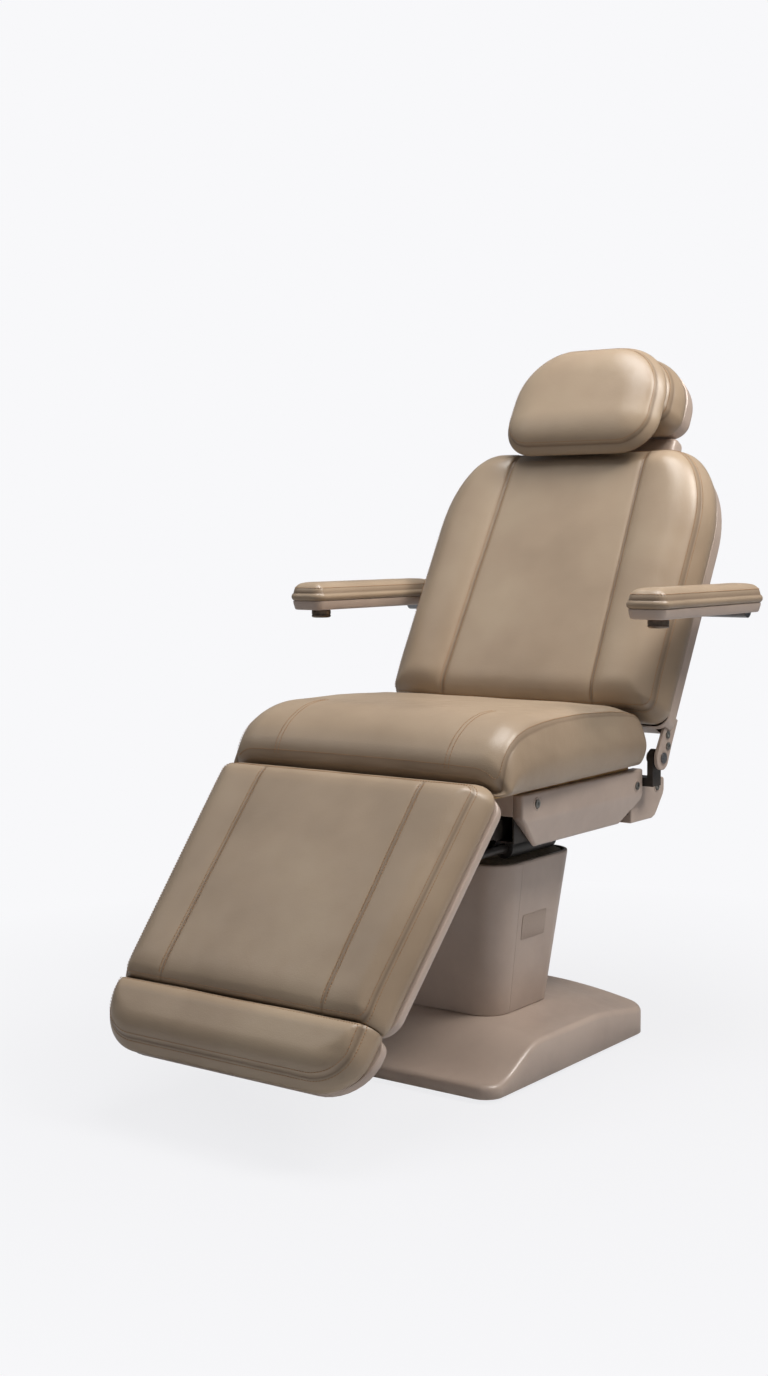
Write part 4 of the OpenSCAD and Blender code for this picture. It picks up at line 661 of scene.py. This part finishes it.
def back_seam(s):
    """Distance of the back's channels from the middle, closing in towards the top."""
    return 171 - 20 * s / BACK_LEN


def back_rim(s):
    """Height of the back's seam over its underside."""
    return np.interp(s, [0, 25, 80, 480, 550, 577], [46, 54, 60, 60, 58, 54])


def back_top(x, s):
    """A flat middle panel, crowned by a cosine, between two bolsters on a half sine, all
    thinner towards the top edge."""
    k = back_seam(s)
    q = np.clip((np.abs(x) - k) / (BACK_HW - k), 0, 1)
    bolster = np.where(np.abs(x) > k, 15 * np.abs(np.sin(np.pi * q ** 0.8)) ** 0.8, 0)
    middle = 79 + 3 * np.cos(np.pi * x / (2 * k + 60)) * (np.abs(x) < k)
    drop = 12 * smoothstep((s - 530) / 50) * (np.abs(x) < k)
    return middle + bolster * smoothstep((590 - s) / 70) - drop


back = Cushion(dict(length=BACK_LEN, hw0=BACK_HW, hw1=BACK_HW, lo=(34, 34), hi=BACK_Q), back_rim,
               back_top, edge=52, power=0.56, bulge=13, slant=1.6, waist=0.4, draw=5, uneven=0.8,
               seed=11, corner=16, middle=46, across=(18, 30), seam=back_seam, channel=(3.6, 3.6))
back.upholster(("back_upholstery", "back_stitching"), "back", BACK, (0, -10, -78), "back_cushion",
               back.seam_lines())

# The leg rest and the foot section
LEG_CHANNEL = 170
FOOT_LEN, FOOT_HW, FOOT_LO, FOOT_HI = 108, 267, (84, 74), (20, 20)


def leg_seam(s):
    """Distance of the leg rest's channels from the middle, the same all along."""
    return LEG_CHANNEL + 0 * s


def leg_rim(s):
    """Height of the leg rest's seam."""
    return np.interp(s, [0, 20, 26, 40, 60, 390, 430, 448], [42, 42, 44, 47, 48, 48, 46, 42])


def leg_top(x, s):
    """A middle panel crowned by a cosine, with fuller outer panels on a half sine."""
    outer = np.abs(x) - LEG_CHANNEL
    return (59 + 3 * np.sin(np.pi * np.clip(outer / 100, 0, 1)) * (outer > 0)
            + 2 * np.cos(np.pi * x / 380) * (outer < 0))


def leg_bend(points):
    """The leg rest's lower end drawn out, so that its seam lies down in the crease."""
    p = np.array(points)
    p[:, 1] = np.interp(p[:, 1], [-5, 0, 20, 34, 70, 500], [-8, -4, -3, 18, 70, 500])
    return p


def foot_bend(points):
    """The foot section's upper end drawn out, so that its seam lies down in the crease."""
    p = np.array(points)
    p[:, 1] = np.interp(p[:, 1], [-50, 60, 82, 94, 108, 112], [-50, 60, 93, 111, 112, 115])
    return p


def foot_rim(s):
    """Height of the foot section's seam, lower towards the toes."""
    return np.interp(s, [0, 30, 60, 80, 94, 108], [32, 36, 41, 42, 42, 42])


def foot_edge(x, s, d):
    """Distance that counts for the rounding, stretched at the upper end so that it is crisper."""
    return d * (1 + 1.6 * smoothstep((s - 55) / 25))


leg = Cushion(dict(length=448, hw0=272, hw1=290, lo=(34, 34), hi=(42, 38)), leg_rim, leg_top,
              edge=32, power=0.6, bulge=20, slant=1.5, waist=0.3, draw=4, uneven=0.8, seed=21,
              corner=10, middle=40, across=(16, 30), seam=leg_seam, channel=(2.0, 2.4), bend=leg_bend)
leg.upholster(("leg_upholstery", "leg_stitching"), "leg_rest", LEG, (0, 0, -58), "leg_cushion",
              leg.seam_lines())
foot = Cushion(dict(length=FOOT_LEN, hw0=FOOT_HW, hw1=FOOT_HW, lo=FOOT_LO, hi=FOOT_HI), foot_rim,
               even(60), edge=46, power=0.58, bulge=14, slant=1.6, waist=0.4, draw=4, uneven=0.8,
               seed=31, corner=16, middle=8, across=(0, 56), rolled=foot_edge, bend=foot_bend)
foot.upholster(("foot_upholstery", "foot_stitching"), "foot", LEG, (0, -117, -58), "foot_cushion",
               foot.seam_lines())


# The headrest: a front pillow and a deeper cushion behind it
def pillow_top(x, s):
    """The pillow's panel, falling off to its sides on a parabola."""
    return 57 - 3 * (x / 160) ** 2


pillow = Cushion(dict(length=246, hw0=177, hw1=172, lo=(76, 76), hi=(125, 128)), even(30),
                 pillow_top, edge=66, power=0.56, bulge=12, slant=1.5, waist=0.4, draw=16,
                 uneven=0.6, seed=41, corner=18, middle=6, across=(0, 44))
pillow.upholster(("headrest_pillow", "pillow_stitching"), "head", BACK, (0, 528, 6), "head_pillow",
                 pillow.seam_lines()[:1])
head = Cushion(dict(length=178, hw0=173, hw1=169, lo=(40, 40), hi=(120, 118)), even(50), even(84),
               edge=62, power=0.56, bulge=10, slant=1.5, waist=0.4, draw=5, uneven=0.6, seed=51,
               corner=18, middle=8, across=(0, 40))
head.upholster(("headrest_cushion", "headrest_stitching"), "head", BACK, (0, 617, -80),
               "head_cushion", head.seam_lines()[:1])

# The armrests
ARM_X, ARM_Y = 376, 3
ARM_SHAPE = dict(length=409, hw0=42, hw1=42, lo=(26, 21), hi=(20, 20))
for side, sign in SIDES:
    pad = Cushion(ARM_SHAPE, even(15), even(36.5), edge=26, power=0.5, bulge=4, slant=2.2,
                  waist=0.5, draw=4, uneven=0.4, seed=61 + sign, corner=10, middle=36,
                  across=(0, 20), side_loops=10)
    pad.upholster(("arm_pad_cover_" + side, "arm_stitching_" + side), "arm_" + side, None,
                  (sign * ARM_X, ARM_Y, 826.3), "arm_pad_" + side, pad.seam_lines(3.4)[:1])

# The floor base: the top flares from a collar round the column, runs along Y as a low lip, a
# rise to a crest and a fall behind, and turns over a rounded edge into the upright sides
BASE_HW, BASE_HL, BASE_EDGE, BASE_CORNER = 247.0, 274.0, 10.0, 36.0
BASE_STEPS = (12, 30)
COLLAR_Y, COLLAR_TOP = 7, 91.7
# Half sides and corner radius where the top leaves the collar, at its rim and at the hole
COLLAR_FOOT, COLLAR_RIM, HOLE = (141, 108, 50), (139, 106, 48), (94, 84, 8)


def base_height(x, y):
    """Height of the base: the lip, the rise to the crest and the fall to the rear along Y,
    and behind the column a swell that is highest in the middle."""
    up = smoothstep((y + BASE_HL * 0.912) / (BASE_HL * 0.512))
    down = smoothstep((y - BASE_HL * 0.22) / (BASE_HL * 0.78))
    behind = smoothstep((y - BASE_HL * 0.1) / (BASE_HL * 0.6))
    return 30 + 48 * up - 23 * down + 28 * behind * (1 - (x / BASE_HW) ** 2)


def base_top(t, dz):
    """Loop of the base's top at share t from the collar to the edge, lowered by dz: the
    collar's height fades out with the cube of what is left of the way."""
    sizes = [a + (b - BASE_EDGE - a) * t for a, b in zip(COLLAR_FOOT, (BASE_HW, BASE_HL, BASE_CORNER))]
    loop = rounded_loop(*sizes, *BASE_STEPS, COLLAR_Y * (1 - smoothstep(t)))
    z = base_height(loop[:, 0], loop[:, 1])
    return with_z(loop, z + (COLLAR_TOP - z) * (1 - t) ** 3 - dz)


def base_side(g, dz=None, z=None):
    """Loop round the base, g out from its flat top's edge: dz below the top, or level at z."""
    loop = rounded_loop(BASE_HW - BASE_EDGE + g, BASE_HL - BASE_EDGE + g,
                        BASE_CORNER - BASE_EDGE + g, *BASE_STEPS)
    return with_z(loop, z if dz is None else base_height(loop[:, 0], loop[:, 1]) - dz)


hole = rounded_loop(*HOLE, *BASE_STEPS)
collar = rounded_loop(*COLLAR_RIM, *BASE_STEPS, COLLAR_Y)
quarter = np.radians(np.linspace(90, 0, 7))[:-1]
loft("floor_base_moulding",
     [with_z(hole, COLLAR_TOP - 4)] + [base_top(t, 4) for t in np.linspace(0, 1, 9)]
     + [base_side(BASE_EDGE + g, z=z) for g, z in ((-4, 7), (-3, 6), (-1, 6), (0, 7))]
     + [base_side(BASE_EDGE * math.sin(a), BASE_EDGE * (1 - math.cos(a))) for a in quarter]
     + [base_top(t, 0) for t in np.linspace(1, 0, 29)]
     + [with_z(collar, COLLAR_TOP), with_z(hole, COLLAR_TOP)],
     paint, "base", ["base_cover"], ring=True, sharp=50)

# The column shroud in two halves: sections through its wall along a rounded path in plan, as
# heights with how far the wall draws in there
SHROUD_LEVELS = [(92.0, 1.0), (92.6, 0.3), (94.0, 0.0), (366.0, 0.0), (369.6, 0.5), (371.4, 1.6),
                 (372.0, 3.0)]
SHROUD_Z, SHROUD_H, SHROUD_WALL, SHROUD_CORNER, SEAM_Y, SEAM_GAP = 92, 280, 4, 50, -46, 0.3
# Half sides at the foot, what they gain up to the top, and how far the middle moves back
SHROUD_HW, SHROUD_HL, SHROUD_FLARE, SHROUD_SPREAD, SHROUD_LEAN = 137, 104, 30, 26, 7


def shroud_path(z, g, side):
    """Half of the shroud's outline at height z, drawn in by g, in front (-1) or behind (1):
    from the seam round two quarter circles to the seam again."""
    t = (z - SHROUD_Z) / SHROUD_H
    a, b = SHROUD_HW + SHROUD_FLARE * t - g, SHROUD_HL + SHROUD_SPREAD * t - g
    r, seam, start = SHROUD_CORNER - g, SEAM_Y + SEAM_GAP * side, 90 - 90 * side
    x, y = side * (a - r), COLLAR_Y + SHROUD_LEAN * t + side * (b - r)
    path = np.vstack([(side * a, seam), arc(x, y, r, start, start + 90, 17),
                      arc(-x, y, r, start + 90, start + 180, 17), (-side * a, seam)])
    if side < 0:
        path[:, 1] = np.minimum(path[:, 1], seam)
    return with_z(path, z)


for name, side in (("front", -1), ("rear", 1)):
    outer = [shroud_path(z, g, side) for z, g in SHROUD_LEVELS]
    inner = [shroud_path(z, g + SHROUD_WALL, side) for z, g in SHROUD_LEVELS]
    loft("shroud_moulding_" + name, np.stack(inner + outer[::-1], 1), paint, "base",
         ["column_shroud_" + name], sharp=40)

# The rating plate's blank: a thin plate on the shroud's slope, with a fine chamfer
PLATE_Y, PLATE_Z = 9, 248
slope = math.atan2(SHROUD_FLARE, SHROUD_H)
plate_x = SHROUD_HW + SHROUD_FLARE * (PLATE_Z - SHROUD_Z) / SHROUD_H + 0.15
corner = rounded_loop(40, 23, 3, 4, 2)
blank = [np.column_stack([plate_x + lift * math.cos(slope) + corner[:, 1] * v * math.sin(slope),
                          PLATE_Y + corner[:, 0] * u,
                          PLATE_Z + corner[:, 1] * v * math.cos(slope) - lift * math.sin(slope)])
         for lift, u, v in ((0.0, 1, 1), (0.7, 1, 1), (0.9, 0.995, 0.99))]
loft("blank_label", blank, label, "base", ["blank_plate"], sharp=40)

# Side covers: pressed skins with a flat upper band, a slanted lower band and rounded edges.
# Behind them the rear covers, and between them the front cover
COVER_X, COVER_BACK_X, BAND_Z, BAND_DROP, BAND_SLANT = 260.0, 240.5, 471, 51, 15
upper = [(-198, 518), (-198, 477), (-191.3, BAND_Z), (225, BAND_Z), (225, 518)]
lower = [(-134, 420), (161, 420), (225, 460)]
skin = ([(COVER_X, y, z) for y, z in upper]
        + [(COVER_X - BAND_SLANT * (BAND_Z - z) / BAND_DROP, y, z) for y, z in lower])
skin += [(COVER_BACK_X, y, z) for _, y, z in skin]
rim_order = [0, 1, 2, 5, 6, 7, 3, 4]
skin_faces = [[0, 1, 2, 3, 4], [2, 5, 6, 7, 3]] + [
    [b, a, a + 8, b + 8] for a, b in zip(rim_order, rim_order[1:] + rim_order[:1])]
rear = [(205, 415), (288, 415), (299, 418.5), (307, 426), (332, 456), (336, 465), (336, 486),
        (332, 490), (236, 490), (205, 462)]
for side, sign in SIDES:
    cover = make_mesh("side_cover_skin_" + side, place(np.array(skin) * [sign, 1, 1]),
                      [face[::sign] for face in skin_faces], paint, "seat", ["side_cover_" + side])
    softened(cover, 5, 5, 10)
    add_modifier(cover, "SOLIDIFY", thickness=2.6 * MM, offset=-1)
    slab("rear_cover_skin_" + side, rear, sign * 199, sign * 246, "seat", edge=4.5,
         nodes=["rear_cover_" + side])
slab("front_cover_panel", [(-198, 479), (-194.6, 479), (-194.6, 518), (-198, 518)], -240.2, 240.2,
     "seat", edge=1.2, nodes=["front_cover"])

# Screw bosses: a shallow dish pressed into the cover round each screw, as (radius, height)
DISH = [(7.4, 0.15), (8.2, 0.9), (9.6, 1.3), (11.0, 0.9), (11.8, 0.1), (11.8, -0.4), (7.4, -0.4)]
SCREWS = [(260, -152, 498), (260, 201, 488), (246, 306, 474)]
turn = np.linspace(0, 2 * np.pi, 40, endpoint=False)
for side, sign in SIDES:
    for k, (x, y, z) in enumerate(SCREWS):
        loops = [np.column_stack([np.full(40, sign * (x + h)), y + r * np.cos(turn),
                                  z + r * np.sin(turn)]) for r, h in DISH]
        loft(f"screw_boss_{side}_{k}", loops, paint, "seat", ring=True)


# The back and head shells: trays whose walls draw in towards a rounded floor
def shell_loops(shape, start, low_share, shares, insets, front, depth):
    """Loops of a shell from its front rim to its floor. Insets say, against shares of the
    depth, how far the wall is drawn in; the lower end is drawn in by low_share of that."""
    s, w = outline_rows(shape, 0, 16, 20)
    way = s / shape["length"]
    loops = []
    for k in np.linspace(0, 1, 26) ** 0.7:
        g = np.interp(k, shares, insets)
        along = way * (shape["length"] - g) + (1 - way) * g * low_share
        loops.append(with_z(panel_loop(along + start, w - g), front - depth * k))
    return loops


def shell(name, shape, start, low_share, insets, front, depth, body, node, cuts, wall=4):
    """A moulded shell: its outer skin, a rounded rim and its inner skin, with its slots cut."""
    outer = shell_loops(shape, start, low_share, SHARES, insets, front, depth)
    inner = shell_loops(shape, start, low_share, SHARES, insets + wall, front, depth - wall)
    lip = (outer[0] + inner[0]) / 2 + [0, 0, wall * 0.4]
    carve(loft(name, outer[::-1] + [lip] + inner, paint, body, [node], BACK), cuts, BACK)


SHARES = np.linspace(0, 1, 30)
shell("back_shell_moulding", dict(length=BACK_LEN, hw0=305, hw1=306, lo=(24, 24), hi=BACK_Q), -10, 0.3,
      2.5 + 4.5 * SHARES + 32 * np.clip((SHARES - 0.5) / 0.5, 0, 1) ** 2.2, -78.8, 54.5, "back",
      "back_shell",
      [((-88, 528, -124.6), (-52, 580, -98.6)), ((52, 528, -124.6), (88, 580, -98.6)),
       ((274, -20, -139.8), (293, 32, -89.8)), ((-293, -20, -139.8), (-274, 32, -89.8)),
       ((-22, -20, -140), (22, 30, -100))])
shell("head_shell_moulding", dict(length=164, hw0=169, hw1=165, lo=(36, 36), hi=(116, 108)), 631, 1.0,
      3 * SHARES + 33 * np.clip((SHARES - 0.45) / 0.55, 0, 1) ** 2.2, -80.3, 56, "head",
      "head_shell", [((-40, 600, -150), (40, 672, -90))])

# Hinges: ears on the head shell, and the pressed plates that carry the back on its pivot
ear = [(678, -134), (702, -134), (702, -90), (678, -90)]
pressing = np.vstack([arc(-BACK["foot"], -BACK["drop"], 23, 90, 270, 19), (-20, -135.5),
                      (30, -135.5), (30, -94), (-20, -94)])
for side, sign in SIDES:
    slab("head_ear_" + side, ear, sign * 38.6, sign * 48.4, "head", BACK, 2)
    slab("hinge_plate_pressing_" + side, pressing, sign * 283, sign * 291, "back", BACK, 2,
         ["hinge_plate_" + side])

# Neck cover: a rounded box over the stems, as (distance, width, depth) of its sections with
# the last two as shares, and a hinge tongue
NECK_N = -112
NECK_SECTIONS = ((569, 1, 1), (618, 1, 1), (623, 0.995, 0.96), (626.5, 0.985, 0.86), (628, 0.97, 0.7))
neck = rounded_loop(155, 20, 12, 8, 6)
loft("neck_cover_moulding",
     [np.column_stack([neck[:, 0] * k, np.full(len(neck), s), neck[:, 1] * m + NECK_N])
      for s, k, m in NECK_SECTIONS], paint, "neck", ["neck_cover"], BACK, sharp=40)
tongue = np.vstack([(620, NECK_N - 12), arc(690, NECK_N, 12, -90, 90, 15), (620, NECK_N + 12)])
slab("neck_tongue", tongue, -38, 38, "neck", BACK)

# Arm trays: moulded dishes under the pads, drawn in towards the bottom, as (inset, height),
# and turned knobs, as (radius, height)
TRAY = ((12, 808), (9.6, 808.3), (7.8, 809.6), (6.6, 812), (5.2, 817), (4, 821), (3.6, 825.6), (4.4, 826))
KNOB = [(0, 0), (15, 0), (17, 0.4), (18.6, 1.6), (19, 3), (19, 5), (18.2, 5.6), (18.2, 6.6), (19, 7.2),
        (19, 13), (18.6, 14.6), (17.2, 15.8), (6, 16), (6, 20), (0, 20)]
for side, sign in SIDES:
    loops = [with_z(panel_loop(*outline_rows(ARM_SHAPE, g, 8, 6)) + [sign * ARM_X, ARM_Y], z)
             for g, z in TRAY]
    loft("arm_tray_moulding_" + side, loops, paint, "arm_" + side, ["arm_tray_" + side], sharp=45)
    lathe("arm_knob_turned_" + side, KNOB, (sign * ARM_X, 60, 791.7), bronze, "knob_" + side,
          ["arm_knob_" + side])

# Leg and foot trays: flat pans with a rolled rim that shows as a pale line round the cushions,
# as (inset, height out of the panel)
PAN = ((1, -62.3), (1, -72.6), (0.2, -73.3), (-2, -73.3), (-3, -72.0), (-3.2, -66), (-3, -59.6),
       (-2.2, -58.5), (-1, -58.3))


def pan(name, shape, start, body, node):
    """A pan open away from the cushion: its recess, the rolled rim and its face."""
    loops = [with_z(panel_loop(*outline_rows(shape, g, 10, 12)) + [0, start], n) for g, n in PAN]
    loft(name, loops, paint, body, [node], LEG, sharp=50)


pan("leg_pan", dict(length=437, hw0=272, hw1=289.5, lo=(34, 34), hi=(34, 34)), 0, "leg_rest", "leg_tray")
pan("foot_pan", dict(length=99, hw0=FOOT_HW, hw1=FOOT_HW, lo=FOOT_LO, hi=FOOT_HI), -FOOT_LEN, "foot",
    "foot_tray")

# The boot: a loose skirt in soft folds between the shroud's rim and the carrier plate. The
# folds are a sine along its height that wanders round the column. Half sides at its top, what
# they gain down to its foot, how far its foot lies back, and the number and depth of the folds
BOOT_ROWS, BOOT_Z, BOOT_H = 41, 370, 47.5
BOOT_NECK, BOOT_SPREAD, BOOT_LEAN, FOLDS, FOLD = (86, 76), (70, 43), 14, 4, 3.2
plan = rounded_loop(1, 1, 0.34, 12, 20)
heading = np.arctan2(plan[:, 1], plan[:, 0])
wander = 0.35 * np.sin(3 * heading + 1) + 0.25 * np.sin(7 * heading)
skirt = []
for t in np.linspace(0, 1, BOOT_ROWS):
    hang = (1 - t) ** 1.5
    fold = FOLD * np.sin(2 * np.pi * (FOLDS * t + wander)) * np.sin(np.pi * t) ** 0.5
    x, y = (plan[:, k] * (BOOT_NECK[k] + BOOT_SPREAD[k] * hang + fold) for k in (0, 1))
    skirt.append(with_z(np.column_stack([x, y + BOOT_LEAN * (1 - t)]), BOOT_Z + BOOT_H * t))
boot = make_mesh("boot_cloth_skirt", place(np.concatenate(skirt)), band_quads(BOOT_ROWS, len(plan)),
                 boot_cloth, None)
add_modifier(boot, "SOLIDIFY", thickness=1.5 * MM, offset=0)
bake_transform(boot)
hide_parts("boot")

# The camera, fitted to the photograph: its picture's sides, focal length and optical centre
# are in pixels
PICTURE, FOCAL, CENTRE, SENSOR = (768, 1376), 1795.8, (388.0, 678.2), 36.0
camera = bpy.data.objects.new("camera", bpy.data.cameras.new("camera"))
bpy.context.scene.collection.objects.link(camera)
camera.location = (1.8568, -2.7433, 0.9577)
yaw, pitch, roll = math.radians(36.4), math.radians(4.6), math.radians(0.2)
camera.rotation_euler = (math.pi / 2 - pitch, roll, yaw)
camera.data.sensor_width = SENSOR
camera.data.lens = FOCAL / PICTURE[1] * SENSOR
camera.data.shift_x = (PICTURE[0] / 2 - CENTRE[0]) / PICTURE[1]
camera.data.shift_y = (CENTRE[1] - PICTURE[1] / 2) / PICTURE[1]
camera.data.clip_end = 60.0
bpy.context.scene.camera = camera


def area_light(name, at, aim, size, power, colour="#ffffff"):
    """A square soft light at a point, turned down and round by the angles to what it faces."""
    lamp = bpy.data.lights.new(name, "AREA")
    lamp.shape, lamp.size, lamp.energy = "SQUARE", size, power
    lamp.color = linear(colour)[:3]
    made = bpy.data.objects.new(name, lamp)
    bpy.context.scene.collection.objects.link(made)
    made.location = at
    x, y, z = unit(np.array(aim, float) - np.array(at, float))
    made.rotation_euler = (math.atan2(math.hypot(x, y), -z), 0, math.atan2(y, x) - math.pi / 2)


area_light("key", (1.9, 0.6, 3.3), (0, 0, 0.7), 1.2, 90, "#fffaf4")
area_light("fill", (-2.2, -1.8, 3.0), (0, 0, 0.8), 1.8, 10, "#f4f8ff")
area_light("top", (0.1, 0.0, 3.5), (0, 0, 0.6), 1.6, 74)

# The studio: the camera sees a pale background, which lights the chair only dimly
PALE = linear("#f8f8fa")
world = bpy.data.worlds.new("studio")
bpy.context.scene.world = world
world.use_nodes = True
sky = world.node_tree
sky.nodes.clear()
seen = add(sky, "LightPath", {}).outputs["Is Camera Ray"]
dim = add(sky, "Background", {"Color": linear("#eef0f4"), "Strength": 0.17})
bright = add(sky, "Background", {"Color": PALE, "Strength": 1.0})
both = add(sky, "MixShader", {"Fac": seen, 1: dim, 2: bright})
add(sky, "OutputWorld", {"Surface": both})

# The floor: it fades into the background between NEAR and FAR metres from the chair, and
# keeps the shadow in what it shows of its own colour
NEAR, FAR, FLOOR_HALF = 0.5, 1.6, 25
floor_finish, tree, where = new_material("studio floor")
dull = add(tree, "BsdfDiffuse", {"Color": linear("#c2c2c4")})
glow = add(tree, "Emission", {"Color": PALE, "Strength": 1.0})
seen = add(tree, "LightPath", {}).outputs["Is Camera Ray"]
away = add(tree, "VectorMath", {0: where}, operation="LENGTH").outputs["Value"]
glare = add(tree, "MapRange", {"Value": away, "From Min": NEAR, "From Max": FAR, "To Min": 0.86,
                               "To Max": 1.0})
share = add(tree, "Math", {0: seen, 1: glare}, operation="MULTIPLY")
both = add(tree, "MixShader", {"Fac": share, 1: dull, 2: glow})
add(tree, "OutputMaterial", {"Surface": both})
floor = make_mesh("studio_floor", [(x * FLOOR_HALF, y * FLOOR_HALF, 0)
                                   for x, y in ((-1, -1), (1, -1), (1, 1), (-1, 1))],
                  [[0, 1, 2, 3]], floor_finish, None, smooth=False)

bpy.context.scene.view_settings.view_transform = "Standard"
